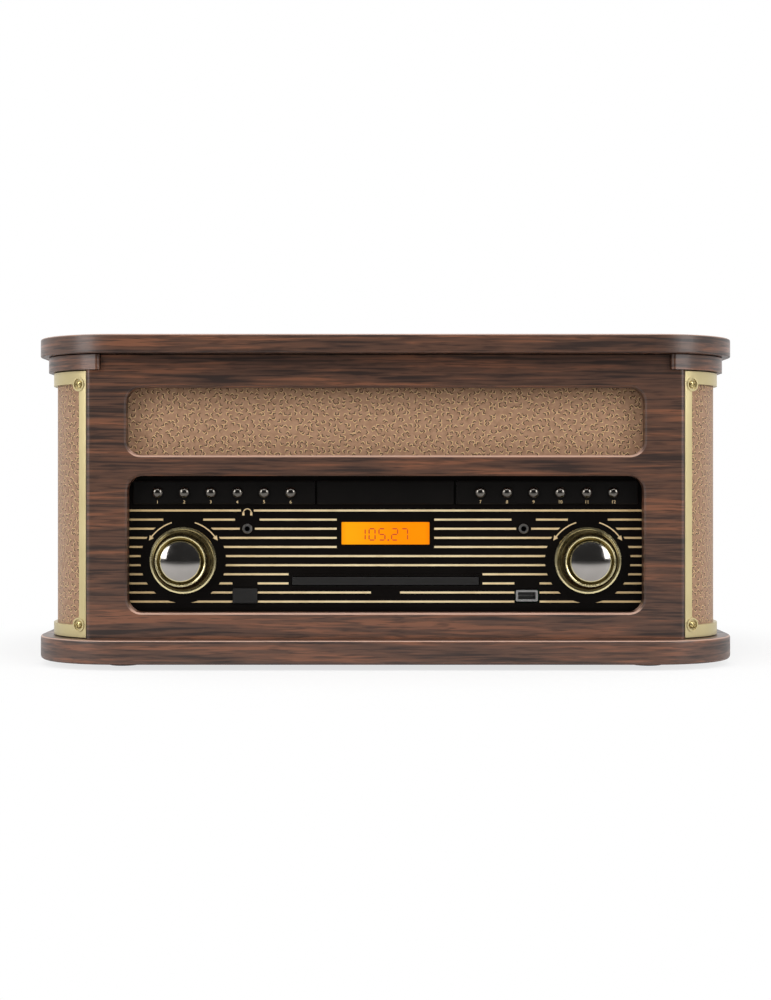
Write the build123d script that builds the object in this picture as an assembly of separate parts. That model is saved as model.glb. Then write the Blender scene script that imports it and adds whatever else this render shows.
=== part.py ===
from build123d import *
from math import acos, asin, atan2, cos, degrees, hypot, radians, sin, sqrt
import os

# Retro wooden music centre: a record player with a front control panel.
# Millimetres. The origin is the middle of the footprint, on the surface that
# the feet stand on. The front faces -Y, +X is to the right, +Z is up.

# Cabinet sizes
WIDTH = 500.0
DEPTH = 352.0
CORNER_R = 62.5
REAR_CORNER_R = 8.0
FOOT_H = 4.0
FOOT_R = 11.0
FOOT_INSET_X = 62.0
FOOT_INSET_Y = 46.0
BASE_T = 17.1
BASE_EDGE_TOP = 1.8
BASE_EDGE_BOTTOM = 2.6
CABINET_H = 199.2
LID_GAP = 0.7
LID_T = 13.0
LID_EDGE_R = 1.3
TOUCH = 0.25

# Front panel and its two windows
PANEL_MARGIN = 40.0
PANEL_SETBACK = 12.0
PANEL_T = 12.0
PANEL_EDGE_R = 3.0
WINDOW_R = 10.5
WINDOW_CHAMFER = 1.3
UPPER_STILE = 28.0
TOP_RAIL_H = 22.7
MID_RAIL_H = 14.3
LOWER_STILE = 28.7
LOWER_OPENING_H = 96.1
BOTTOM_RAIL_H = 18.3

# Top rails, side boards and inner frame
RAIL_T = 10.4
RAIL_SETBACK = 5.8
RAIL_LAP = 10.2
RAIL_END_R = 2.4
SIDE_SETBACK = 12.0
SIDE_T = 12.0
INNER_BOARD_T = 9.0
POST_W = 18.0
POST_D = 20.0
REAR_T = 12.0
CLEAT = 12.0

# Brass-coloured grille frames round the front corners
FRAME_SETBACK = 9.4
FRAME_T = 2.6
FRAME_PANEL_GAP = 0.4
FRAME_STRIP_W = 5.3
FRAME_TOP_BAND = 9.0
FRAME_BOTTOM_BAND = 8.6
FRAME_REAR_BAND = 8.0
FRAME_GAP = 0.75
FRAME_REACH = 150.0
FRAME_WINDOW_R = 5.0
BOSS_R = 5.0
BOSS_DISH_R = 3.9
BOSS_DISH_DEPTH = 1.0
BOSS_PROUD = 0.5
CLOTH_T = 1.2
SPEAKER_R = 38.5
SPEAKER_BACK = 71.5
SPEAKER_Z = 100.0

# Control panel
FACIA_T = 3.0
FACIA_SIDE_LAP = 13.0
FACIA_LAP = 9.0
FACIA_Z_LAP = 5.5
STRIPE_W = 1.4
STRIPE_PROUD = 0.5
STRIPE_COUNT = 11
STRIPE_PITCH = 6.44
STRIPE_TOP_Z = 111.0
BAR_LOW = 115.4
BAR_HIGH = 132.2
BAR_PROUD = 2.0
BAR_INNER_X = 49.9
BAR_END_GAP = 2.7
CENTRE_PLATE_HALF = 48.3
BUTTON_R = 3.6
BUTTON_FLANGE_R = 4.5
BUTTON_FIRST_X = 67.0
BUTTON_END_GAP = 17.6
BUTTONS_A_SIDE = 6
BUTTON_Z = 123.8
BUTTON_TRAVEL = 1.0
BUTTON_PROUD = 3.2
BUTTON_FIT = 0.2
KNOB_MARGIN = 38.3
KNOB_Z = 75.7
KNOB_CLEAR_R = 30.3
KNOB_R = 23.65
KNOB_RING_R = 17.5
KNOB_DOME_R = 14.0
KNOB_GAP = 0.8
KNOB_RING_AT = 18.6
KNOB_DEPTH = 22.9
SHAFT_R = 3.0
SHAFT_FIT = 0.05
KNOB_BORE = 9.0
SHAFT_HOLE_R = 4.2
POT_R = 12.0
LCD_HALF_W = 31.2
LCD_LOW = 86.9
LCD_HIGH = 102.9
JACK_TO_KNOB = 45.3
JACK_Z = 98.1
JACK_BORE_R = 1.78
JACK_RING_R = 3.5
SOCKET_Z = 50.7
POWER_TO_KNOB = 43.7
POWER_W = 17.4
POWER_H = 10.5
POWER_TRAVEL = 2.5
USB_TO_KNOB = 43.0
USB_RECESS_W = 18.0
USB_RECESS_H = 10.1
USB_SHELL_W = 13.2
USB_SHELL_H = 5.8
USB_WALL = 0.4
USB_DEPTH = 14.0

# Disc drawer
TRAY_HALF_W = 66.0
TRAY_LOW = 58.2
TRAY_FRONT_H = 5.8
TRAY_LENGTH = 152.0
TRAY_FIT = 0.5
DISC_R = 60.6
SLOT_BEZEL_W = 1.3
DRIVE_WALL = 5.0
DRIVE_H = 44.0
DRIVE_SET_IN = 14.0

# Turntable deck
DECK_T = 3.0
DECK_DROP = 57.3
DECK_FIT = 0.5
SPINDLE_X = -62.0
PLATTER_R = 100.0
PLATTER_H = 10.5
PLATTER_LIFT = 2.0
PLATTER_WALL = 3.0
DRIVE_RIM_R = 75.0
PULLEY_R = 5.0
PULLEY_AT = 87.0
PULLEY_TURN = 38.0
BELT_W = 4.5
BELT_T = 0.7
BELT_FIT = 0.15
BEARING_R = 5.0
BEARING_FIT = 0.06
SPINDLE_R = 3.55
SPINDLE_RISE = 11.0
SPINDLE_GAP = 0.9
MAT_T = 2.0
MAT_R = 97.0
MOTOR_R = 16.0
MOTOR_H = 24.0
MOTOR_SHAFT_R = 1.0

# Tonearm
ARM_FROM_SIDE = 105.0
ARM_FROM_REAR = 99.75
HEAD_CLEAR = 16.75
ARM_R = 4.0
ARM_ABOVE_MAT = 15.5
ARM_TAIL = 40.0
ARM_BASE_R = 33.0
ARM_BASE_H = 8.0
ARM_PIN_R = 1.5
ARM_PIN_FIT = 0.08
HEAD_TURN = -20.0
LIFTER_AT = 26.0
LIFTER_PIN_R = 2.0
LIFTER_FIT = 0.08
REST_AT = 112.0
CUE_X = 38.0
CUE_LENGTH = 20.0
SELECTOR_FROM_SIDE = 45.0
SELECTOR_FORWARD = 43.6
AUTOSTOP_FORWARD = 97.6

# Lid hinges and stay
KNUCKLE_R = 2.5
KNUCKLE_CLEAR = 0.3
HINGE_PIN_R = 1.25
HINGE_PIN_FIT = 0.06
HINGE_LEAF_T = 1.5
HINGE_W = 50.0
HINGE_FROM_SIDE = 100.0
HINGE_LEAF_H = 10.0
STAY_A = 70.0
STAY_SLOPE = 6.0
STAY_CLOSED = 15.0
LID_OPEN_DEG = 60.0
STAY_T = 2.0
STAY_PIN_R = 1.6
STAY_SLOT_R = 1.9
STAY_EYE_R = 5.0
STAY_TIP_R = 3.6
STAY_BAR_W = 6.0
STAY_PLAY = 0.3

# Places that follow from the sizes above
FRONT_Y = -(DEPTH + KNUCKLE_CLEAR + 2 * KNUCKLE_R) / 2
REAR_Y = FRONT_Y + DEPTH
BASE_TOP = FOOT_H + BASE_T
RAIL_TOP = BASE_TOP + CABINET_H
RAIL_LOW = RAIL_TOP - RAIL_T
LOWER_LOW = BASE_TOP + BOTTOM_RAIL_H
LOWER_HIGH = LOWER_LOW + LOWER_OPENING_H
UPPER_LOW = LOWER_HIGH + MID_RAIL_H
UPPER_HIGH = RAIL_TOP - TOP_RAIL_H
DECK_TOP = RAIL_TOP - DECK_DROP
LID_LOW = RAIL_TOP + LID_GAP
LID_TOP = LID_LOW + LID_T
CORNER_X = WIDTH / 2 - CORNER_R
CORNER_Y = FRONT_Y + CORNER_R
PANEL_HALF_W = WIDTH / 2 - PANEL_MARGIN
UPPER_HALF_W = PANEL_HALF_W - UPPER_STILE
LOWER_HALF_W = PANEL_HALF_W - LOWER_STILE
RAIL_END_X = PANEL_HALF_W - RAIL_LAP
FRAME_START_X = PANEL_HALF_W + FRAME_PANEL_GAP
PANEL_Y = FRONT_Y + PANEL_SETBACK
PANEL_BACK = PANEL_Y + PANEL_T
SIDE_OUT = WIDTH / 2 - SIDE_SETBACK
SIDE_IN = SIDE_OUT - SIDE_T
BOARD_IN = SIDE_IN - INNER_BOARD_T
REAR_IN_Y = REAR_Y - REAR_T
POST_X = BOARD_IN - POST_W
POST_BACK = PANEL_BACK + POST_D
FRAME_LOW = BASE_TOP + FRAME_GAP
FRAME_HIGH = RAIL_LOW - FRAME_GAP
FRAME_END_Y = FRONT_Y + FRAME_REACH
CLOTH_SETBACK = FRAME_SETBACK + FRAME_T + 0.1
HINGE_Y = REAR_Y + KNUCKLE_CLEAR + KNUCKLE_R
HINGE_Z = (RAIL_TOP + LID_LOW) / 2
DECK_FRONT = PANEL_BACK + 4.5
DECK_MID_Y = (DECK_FRONT + REAR_IN_Y) / 2
PLATTER_LOW = DECK_TOP + PLATTER_LIFT
PLATTER_TOP = PLATTER_LOW + PLATTER_H
MAT_TOP = PLATTER_TOP + MAT_T
ARM_X = BOARD_IN - ARM_FROM_SIDE
ARM_Y = REAR_IN_Y - ARM_FROM_REAR
ARM_REACH = ARM_Y - DECK_FRONT - HEAD_CLEAR
ARM_Z = MAT_TOP + ARM_ABOVE_MAT
FACIA_LOW = LOWER_LOW - FACIA_LAP
FACIA_HIGH = LOWER_HIGH + FACIA_Z_LAP
FACIA_HALF_W = LOWER_HALF_W + FACIA_SIDE_LAP
BAR_OUTER_X = LOWER_HALF_W - BAR_END_GAP
BUTTON_PITCH = (BAR_OUTER_X - BUTTON_END_GAP - BUTTON_FIRST_X) / (BUTTONS_A_SIDE - 1)
KNOB_X = LOWER_HALF_W - KNOB_MARGIN
JACK_X = KNOB_X - JACK_TO_KNOB
POWER_X = KNOB_X - POWER_TO_KNOB
USB_X = KNOB_X - USB_TO_KNOB
HINGE_X = WIDTH / 2 - HINGE_FROM_SIDE
SELECTOR_X = BOARD_IN - SELECTOR_FROM_SIDE
SELECTOR_Y = DECK_MID_Y - SELECTOR_FORWARD
AUTOSTOP_Y = DECK_MID_Y - AUTOSTOP_FORWARD
SLOT_HALF = TRAY_HALF_W + TRAY_FIT
SLOT_LOW = TRAY_LOW - TRAY_FIT
SLOT_HIGH = TRAY_LOW + TRAY_FRONT_H + TRAY_FIT

os.makedirs("parts", exist_ok=True)


def save(shape, name):
    """Write one sub-part as its own file."""
    export_step(shape, f"parts/{name}.step")


def block(x0, x1, y0, y1, z0, z1):
    """A box between two limits on each axis."""
    middle = Pos((x0 + x1) / 2, (y0 + y1) / 2, (z0 + z1) / 2)
    return middle * Box(x1 - x0, y1 - y0, z1 - z0)


def disc(x, y, z, radius, height):
    """An upright cylinder that starts at z."""
    return Pos(x, y, z) * Cylinder(radius, height, align=(Align.CENTER, Align.CENTER, Align.MIN))


def peg(x, z, radius, y0, y1):
    """A cylinder along Y, for what passes through the front."""
    return Pos(x, (y0 + y1) / 2, z) * Rot(90, 0, 0) * Cylinder(radius, y1 - y0)


def across(y, z, radius, x0, x1):
    """A cylinder along X, for hinge pins and eyes."""
    return Pos((x0 + x1) / 2, y, z) * Rot(0, 90, 0) * Cylinder(radius, x1 - x0)


def both(shape):
    """The shape and its mirror image on the other side of the middle."""
    return Compound(children=[shape, mirror(shape, about=Plane.YZ)])


def plan(inset, rear_r=0.0):
    """The cabinet's outline seen from above, drawn in by inset: two large round front corners."""
    w, r = WIDTH / 2 - inset, CORNER_R - inset
    front = CORNER_Y - r
    edges = [
        Line((-CORNER_X, front), (CORNER_X, front)),
        CenterArc((CORNER_X, CORNER_Y), r, -90, 90),
        Line((w, CORNER_Y), (w, REAR_Y)),
        Line((w, REAR_Y), (-w, REAR_Y)),
        Line((-w, REAR_Y), (-w, CORNER_Y)),
        CenterArc((-CORNER_X, CORNER_Y), r, 180, 90),
    ]
    face = make_face(Wire(edges))
    if rear_r:
        rear = face.vertices().filter_by(lambda v: v.Y > REAR_Y - 0.01)
        face = fillet(rear, rear_r)
    return face


def slab(inset, z0, z1, rear_r=0.0):
    """A board with the cabinet's outline between two heights."""
    return Pos(0, 0, z0) * extrude(plan(inset, rear_r), z1 - z0)


def window(half_w, low, high, y0, y1, radius):
    """A block with four rounded corners seen from the front, to cut or fill a window."""
    frame = Plane.XZ.offset(-y0) * Pos(0, (low + high) / 2)
    return extrude(frame * RectangleRounded(2 * half_w, high - low, radius), y0 - y1)


def crown(radius, edge, top):
    """A round cap's profile: an arc centred on the axis, from its edge to its top."""
    rise = top - edge
    ball = (radius * radius + rise * rise) / (2 * rise)
    half = radius / 2
    middle = (half, top - ball + sqrt(ball * ball - half * half))
    return ThreePointArc((radius, edge), middle, (0, top))


# Base board with a softened edge, and four round rubber feet
base = slab(0, FOOT_H, BASE_TOP, REAR_CORNER_R)
base = fillet(base.faces().sort_by(Axis.Z)[-1].edges(), BASE_EDGE_TOP)
base = fillet(base.faces().sort_by(Axis.Z)[0].edges(), BASE_EDGE_BOTTOM)
save(base, "base_board")

foot_x = WIDTH / 2 - FOOT_INSET_X
feet = []
for sx in (-1, 1):
    for y in (FRONT_Y + FOOT_INSET_Y, REAR_Y - FOOT_INSET_Y):
        foot = disc(sx * foot_x, y, 0, FOOT_R, FOOT_H)
        foot = chamfer(foot.edges().group_by(Axis.Z)[0], 0.8)
        feet.append(foot)
save(Compound(children=feet), "rubber_feet")

# Front panel: a board with two windows, notched where the top rails lap over its corners
panel = block(-PANEL_HALF_W, PANEL_HALF_W, PANEL_Y, PANEL_BACK, BASE_TOP, RAIL_TOP)
upright = panel.edges().filter_by(Axis.Z).group_by(Axis.Y)[0]
panel = fillet(upright, PANEL_EDGE_R)
panel -= window(UPPER_HALF_W, UPPER_LOW, UPPER_HIGH, PANEL_Y, PANEL_BACK, WINDOW_R)
panel -= window(LOWER_HALF_W, LOWER_LOW, LOWER_HIGH, PANEL_Y, PANEL_BACK, WINDOW_R)
face = panel.faces().filter_by(Plane.XZ).sort_by(Axis.Y)[0]
rims = [e for w in face.inner_wires() for e in w.edges()]
panel = chamfer(rims, WINDOW_CHAMFER)
notch_x = RAIL_END_X - TOUCH
notch_z = RAIL_LOW - TOUCH
panel -= both(block(notch_x, PANEL_HALF_W + 1, PANEL_Y - 1, PANEL_BACK + 1, notch_z, RAIL_TOP + 1))
save(panel, "front_panel")

# Side panels behind the grille frames
side = block(SIDE_IN, SIDE_OUT, FRAME_END_Y, REAR_Y, BASE_TOP, RAIL_LOW)
save(both(side), "side_panels")

# Top rails: they wrap the front corners, run back along both sides and end on the front panel
rail = slab(RAIL_SETBACK, RAIL_LOW, RAIL_TOP)
rail &= block(RAIL_END_X, WIDTH, FRONT_Y, REAR_Y, RAIL_LOW, RAIL_TOP)
rail -= block(0, BOARD_IN, POST_BACK, REAR_Y + 1, RAIL_LOW - 1, RAIL_TOP + 1)
rail -= block(0, SIDE_IN, REAR_IN_Y, REAR_Y + 1, RAIL_LOW - 1, RAIL_TOP + 1)
rail_end = rail.edges().filter_by(Axis.Z).sort_by(Axis.Y)[0]
rail = fillet(rail_end, RAIL_END_R)
save(both(rail), "top_rails")

# Inner frame: lining boards that carry the loudspeakers, corner posts, deck cleats and battens
speaker_y = PANEL_BACK + SPEAKER_BACK
lining_front = POST_BACK - 8.0
lining = block(BOARD_IN, SIDE_IN, lining_front, REAR_IN_Y, BASE_TOP, RAIL_LOW)
lining -= across(speaker_y, SPEAKER_Z, SPEAKER_R - 5.0, BOARD_IN - 1, SIDE_IN + 1)
post = block(POST_X, BOARD_IN, PANEL_BACK, POST_BACK, BASE_TOP, RAIL_LOW)
cleat_high = DECK_TOP - DECK_T
cleat = block(BOARD_IN - CLEAT, BOARD_IN, POST_BACK, REAR_IN_Y, cleat_high - CLEAT, cleat_high)
batten_x = WIDTH / 2 - CLOTH_SETBACK - CLOTH_T - TOUCH
batten = block(SIDE_IN, batten_x, FRAME_END_Y - CLEAT, FRAME_END_Y, BASE_TOP, RAIL_LOW)
inner = [lining, post, cleat, batten]
inner += [mirror(piece, about=Plane.YZ) for piece in inner]
save(Compound(children=inner), "inner_frame")


# Grille frames: thin mouldings bent round the corner, with a window and four dished screw bosses
def band(outer, inner, x0, y1, z0, z1):
    """A shell round the right front corner between two insets, from x0 on the front to y1 on the side."""
    shell = slab(outer, z0, z1) - slab(inner, z0, z1)
    return shell & block(x0, WIDTH, FRONT_Y, y1, z0, z1)


def at_arc(x, setback):
    """The place on the corner arc at this x, and the direction that it faces, as degrees from the front."""
    radius = CORNER_R - setback
    turn = degrees(asin((x - CORNER_X) / radius))
    return CORNER_Y - radius * cos(radians(turn)), turn


frame_back = FRAME_SETBACK + FRAME_T
frame = band(FRAME_SETBACK, frame_back, FRAME_START_X, FRAME_END_Y - TOUCH, FRAME_LOW, FRAME_HIGH)
hole_x = FRAME_START_X + FRAME_STRIP_W
hole_low = FRAME_LOW + FRAME_BOTTOM_BAND
hole_high = FRAME_HIGH - FRAME_TOP_BAND
hole_end = FRAME_END_Y - FRAME_REAR_BAND
hole = band(FRAME_SETBACK - 1, frame_back + 1, hole_x, hole_end, hole_low, hole_high)
corners = hole.edges().filter_by(lambda e: e.length < FRAME_T + 4)
hole = fillet(corners, FRAME_WINDOW_R)
frame -= hole
boss_x = hole_x + 0.3
boss_y, boss_turn = at_arc(boss_x, FRAME_SETBACK)
boss_root = frame_back - FRAME_SETBACK
for z in (hole_low + 0.2, hole_high - 0.2):
    seat = Pos(boss_x, boss_y, z) * Rot(0, 0, boss_turn) * Rot(90, 0, 0)
    bossing = Pos(0, 0, (BOSS_PROUD - boss_root) / 2) * Cylinder(BOSS_R, boss_root + BOSS_PROUD)
    dish = Pos(0, 0, BOSS_PROUD) * Cylinder(BOSS_DISH_R, 2 * BOSS_DISH_DEPTH)
    frame += seat * bossing
    frame -= seat * dish
side_x = WIDTH / 2 - FRAME_SETBACK
for z in (hole_low + 0.2, hole_high - 0.2):
    seat = Pos(side_x, hole_end - 0.2, z) * Rot(0, 90, 0)
    bossing = Pos(0, 0, (BOSS_PROUD - boss_root) / 2) * Cylinder(BOSS_R, boss_root + BOSS_PROUD)
    dish = Pos(0, 0, BOSS_PROUD) * Cylinder(BOSS_DISH_R, 2 * BOSS_DISH_DEPTH)
    frame += seat * bossing
    frame -= seat * dish
save(both(frame), "grille_frames")

# Grille cloth on its curved backing, just behind the frame
cloth_low = FRAME_LOW + 2.0
cloth_high = FRAME_HIGH - 2.0
cloth_x = FRAME_START_X + 1.6
cloth_end = FRAME_END_Y - 1.0
cloth = band(CLOTH_SETBACK, CLOTH_SETBACK + CLOTH_T, cloth_x, cloth_end, cloth_low, cloth_high)
save(both(cloth), "grille_cloths")

# Loudspeakers: flange, basket, cone, magnet, turned round an axis across the cabinet
cone_depth = 17.0
basket_depth = 22.0
magnet_depth = 36.0
speaker_outline = [
    (0, -cone_depth + 4.0), (5.0, -cone_depth + 2.4), (9.0, -cone_depth),
    (SPEAKER_R - 10.0, -1.5), (SPEAKER_R - 8.0, 0.6), (SPEAKER_R - 6.0, -0.4),
    (SPEAKER_R - 5.4, 2.2), (SPEAKER_R, 2.2), (SPEAKER_R, 0), (SPEAKER_R - 5.3, 0),
    (SPEAKER_R - 7.0, -6.0), (22.0, -basket_depth), (27.0, -basket_depth),
    (27.0, -magnet_depth), (0, -magnet_depth),
]
speaker_face = make_face(Polyline(*speaker_outline, close=True))
speaker = revolve(speaker_face, Axis.Y)
speaker = Pos(SIDE_IN, speaker_y, SPEAKER_Z) * Rot(0, 0, -90) * speaker
save(both(speaker), "speakers")

# Cloth board behind the upper window
board_low = FACIA_HIGH + 1.0
board_high = UPPER_HIGH + 7.0
board = window(UPPER_HALF_W + 9.0, board_low, board_high, PANEL_BACK, PANEL_BACK + 3.8, 4.0)
save(board, "panel_cloth")

# Facia plate behind the lower window, with an opening for each control
facia_front = PANEL_BACK
facia_back = facia_front + FACIA_T
facia = window(FACIA_HALF_W, FACIA_LOW, FACIA_HIGH, facia_front, facia_back, 4.0)


def through(x, z, width, height, radius, y0=facia_front, y1=facia_back):
    """A rounded rectangular block through the facia, centred at x and z."""
    shape = window(width / 2, z - height / 2, z + height / 2, y0, y1, radius)
    return Pos(x, 0, 0) * shape


lcd_z = (LCD_LOW + LCD_HIGH) / 2
slot_z = (SLOT_LOW + SLOT_HIGH) / 2
button_xs = [BUTTON_FIRST_X + i * BUTTON_PITCH for i in range(BUTTONS_A_SIDE)]
button_xs = [-x for x in reversed(button_xs)] + button_xs
for sx in (-1, 1):
    facia -= peg(sx * KNOB_X, KNOB_Z, SHAFT_HOLE_R, facia_front - 1, facia_back + 1)
    facia -= peg(sx * JACK_X, JACK_Z, JACK_RING_R, facia_front - 1, facia_back + 1)
for x in button_xs:
    facia -= peg(x, BUTTON_Z, BUTTON_R + BUTTON_FIT, facia_front - 1, facia_back + 1)
facia -= through(0, slot_z, 2 * SLOT_HALF, SLOT_HIGH - SLOT_LOW, 0.8)
facia -= through(0, lcd_z, 2 * LCD_HALF_W, LCD_HIGH - LCD_LOW, 0.6)
facia -= through(-POWER_X, SOCKET_Z, POWER_W + 2 * BUTTON_FIT, POWER_H + 2 * BUTTON_FIT, 0.9)
facia -= through(USB_X, SOCKET_Z, USB_RECESS_W, USB_RECESS_H, 2.2)
bezel = through(0, slot_z, 2 * (SLOT_HALF + SLOT_BEZEL_W), SLOT_HIGH - SLOT_LOW + 2 * SLOT_BEZEL_W,
                1.6, facia_front - 0.7, facia_front)
bezel -= through(0, slot_z, 2 * SLOT_HALF, SLOT_HIGH - SLOT_LOW, 0.8, facia_front - 1, facia_front + 1)
facia += bezel
save(facia, "facia")

# Brass-coloured stripes across the facia, broken round the controls
stripe_y = facia_front - STRIPE_PROUD
keep_out = []
for sx in (-1, 1):
    keep_out.append(peg(sx * KNOB_X, KNOB_Z, KNOB_CLEAR_R, stripe_y - 1, facia_front + 1))
    keep_out.append(through(sx * KNOB_X, STRIPE_TOP_Z - STRIPE_PITCH, 28.4, 3, 0.5, stripe_y - 1))
    keep_out.append(through(sx * JACK_X, STRIPE_TOP_Z - STRIPE_PITCH, 17.4, 3, 0.5, stripe_y - 1))
    keep_out.append(peg(sx * JACK_X, JACK_Z, 5.4, stripe_y - 1, facia_front + 1))
keep_out.append(through(-JACK_X, STRIPE_TOP_Z, 9.2, 3, 0.5, stripe_y - 1))
keep_out.append(through(0, lcd_z, 2 * LCD_HALF_W + 6.6, LCD_HIGH - LCD_LOW + 8, 0.5, stripe_y - 1))
keep_out.append(through(0, slot_z, 2 * (SLOT_HALF + SLOT_BEZEL_W + 0.8), 12, 0.5, stripe_y - 1))
for x in (-POWER_X, USB_X):
    keep_out.append(through(x, SOCKET_Z + 1.2, 17.9, 20, 0.5, stripe_y - 1))
keep_out.append(through(0, SOCKET_Z + 1.2, 20.6, 8, 0.5, stripe_y - 1))
keep_in = window(LOWER_HALF_W - TOUCH, LOWER_LOW + TOUCH, LOWER_HIGH - TOUCH, stripe_y, facia_front, WINDOW_R)
stripes = []
for i in range(STRIPE_COUNT):
    z = STRIPE_TOP_Z - i * STRIPE_PITCH
    stripe = through(0, z, 2 * LOWER_HALF_W, STRIPE_W, 0.3, stripe_y, facia_front)
    stripe = (stripe & keep_in) - keep_out
    stripes += stripe.solids()
save(Compound(children=stripes), "facia_stripes")

# Button bar: two long plates with six holes each and a plain centre plate
bar_y = facia_front - BAR_PROUD
bar_z = (BAR_LOW + BAR_HIGH) / 2
bars = []
spans = [(-BAR_OUTER_X, -BAR_INNER_X), (-CENTRE_PLATE_HALF, CENTRE_PLATE_HALF), (BAR_INNER_X, BAR_OUTER_X)]
for x0, x1 in spans:
    bar = through((x0 + x1) / 2, bar_z, x1 - x0, BAR_HIGH - BAR_LOW, 1.2, bar_y, facia_front)
    for x in button_xs:
        if x0 < x < x1:
            bar -= peg(x, BUTTON_Z, BUTTON_R + BUTTON_FIT, bar_y - 1, facia_front + 1)
    rim = bar.faces().sort_by(Axis.Y)[0].outer_wire().edges()
    bars.append(chamfer(rim, 0.8))
save(Compound(children=bars), "button_bar")

# Twelve domed push buttons, each with a retaining flange behind the facia
flange_gap = 0.3
flange_t = 1.2
button_back = facia_back + flange_gap + flange_t
button_front = bar_y - BUTTON_PROUD
dome_h = 1.7
length = button_back - button_front
button_top = crown(BUTTON_R, length - dome_h, length)
button_sides = Polyline(
    (BUTTON_R, length - dome_h), (BUTTON_R, flange_t), (BUTTON_FLANGE_R, flange_t),
    (BUTTON_FLANGE_R, 0), (0, 0), (0, length),
)
button_face = make_face([button_top, *button_sides.edges()])
button = Rot(0, 0, 180) * revolve(button_face, Axis.Y)
for i, x in enumerate(button_xs):
    save(Pos(x, button_back, BUTTON_Z) * button, f"button_{i + 1}")

# Latching power button: a hollow cap with a shallow dished face
cap_back = facia_back + 3.0
cap = through(-POWER_X, SOCKET_Z, POWER_W, POWER_H, 0.7, facia_front - 2.0, cap_back)
cap = fillet(cap.faces().sort_by(Axis.Y)[0].edges(), 0.5)
cap -= through(-POWER_X, SOCKET_Z, POWER_W - 3, POWER_H - 3, 0.5, facia_front + 1.5, cap_back + 1)
save(cap, "power_button")

# Display window and its clear edge, flush in the facia
glass = through(0, lcd_z, 2 * LCD_HALF_W - 0.2, LCD_HIGH - LCD_LOW - 0.2, 0.5,
                facia_front + 0.4, facia_back - 0.4)
save(glass, "display_window")

# Headphone and line-in jacks, and the data socket with its tongue
jack_depth = 14.0
jacks = []
for sx in (-1, 1):
    jack = peg(sx * JACK_X, JACK_Z, JACK_RING_R, facia_front - 1.4, facia_back)
    jack = chamfer(jack.edges().sort_by(Axis.Y)[0], 0.5)
    jack += block(sx * JACK_X - 5.5, sx * JACK_X + 5.5, facia_back, facia_back + 13, JACK_Z - 5, JACK_Z + 5)
    jack -= peg(sx * JACK_X, JACK_Z, JACK_BORE_R, facia_front - 2, facia_front - 1.4 + jack_depth)
    jacks.append(jack)
usb_back = facia_back + USB_DEPTH
shell = through(USB_X, SOCKET_Z, USB_SHELL_W, USB_SHELL_H, 0.6, facia_front + 0.4, usb_back)
inside = through(USB_X, SOCKET_Z, USB_SHELL_W - 2 * USB_WALL, USB_SHELL_H - 2 * USB_WALL, 0.4,
                 facia_front, usb_back - 1.5)
lip = through(USB_X, SOCKET_Z, USB_SHELL_W + 2.4, USB_SHELL_H + 2.2, 1.2,
              facia_front + 0.4, facia_front + 0.9)
tongue = block(USB_X - 5.6, USB_X + 5.6, facia_front + 3, usb_back - 1, SOCKET_Z + 0.35, SOCKET_Z + 2.0)
usb = (shell + lip) - inside + tongue
save(Compound(children=[*jacks, usb]), "sockets")

# Volume and tuning knobs with their spindles: stepped body, two bright rings and a polished dome
knob_profile = [
    (KNOB_R - 0.5, KNOB_GAP), (KNOB_R, KNOB_GAP + 0.5), (KNOB_R, KNOB_GAP + 1.6),
    (KNOB_R - 0.7, KNOB_GAP + 2.3), (KNOB_R - 1.6, KNOB_GAP + 2.3), (KNOB_R - 1.9, KNOB_GAP + 5.6),
    (KNOB_R - 3.3, KNOB_GAP + 6.0), (KNOB_R - 3.3, KNOB_GAP + 9.4), (KNOB_R - 4.6, KNOB_GAP + 9.8),
    (KNOB_RING_R + 0.4, KNOB_RING_AT - 2.0), (KNOB_RING_R + 0.4, KNOB_RING_AT - 0.6),
    (KNOB_RING_R - 0.2, KNOB_RING_AT), (KNOB_RING_R - 0.9, KNOB_RING_AT),
    (KNOB_DOME_R + 0.9, KNOB_RING_AT - 1.6), (KNOB_DOME_R + 0.3, KNOB_RING_AT - 1.6),
    (KNOB_DOME_R + 0.3, KNOB_RING_AT + 0.9), (KNOB_DOME_R - 0.3, KNOB_RING_AT + 1.3),
]
dome = crown(KNOB_DOME_R - 0.3, KNOB_RING_AT + 1.3, KNOB_DEPTH)
knob_back = Polyline((0, KNOB_DEPTH), (0, KNOB_GAP), (KNOB_R - 0.5, KNOB_GAP))
knob_face = make_face([*Polyline(*knob_profile).edges(), dome, *knob_back.edges()])
knob_shape = Rot(0, 0, 180) * revolve(knob_face, Axis.Y)
knob_shape -= peg(0, 0, SHAFT_R + SHAFT_FIT, -KNOB_BORE, 0)
for sx, name in ((-1, "volume_knob"), (1, "tuning_knob")):
    knob = Pos(sx * KNOB_X, facia_front, KNOB_Z) * knob_shape
    shaft = peg(sx * KNOB_X, KNOB_Z, SHAFT_R, facia_front - KNOB_BORE + 0.3, facia_back + 8.0)
    save(Compound(children=[knob, shaft]), name)

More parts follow.
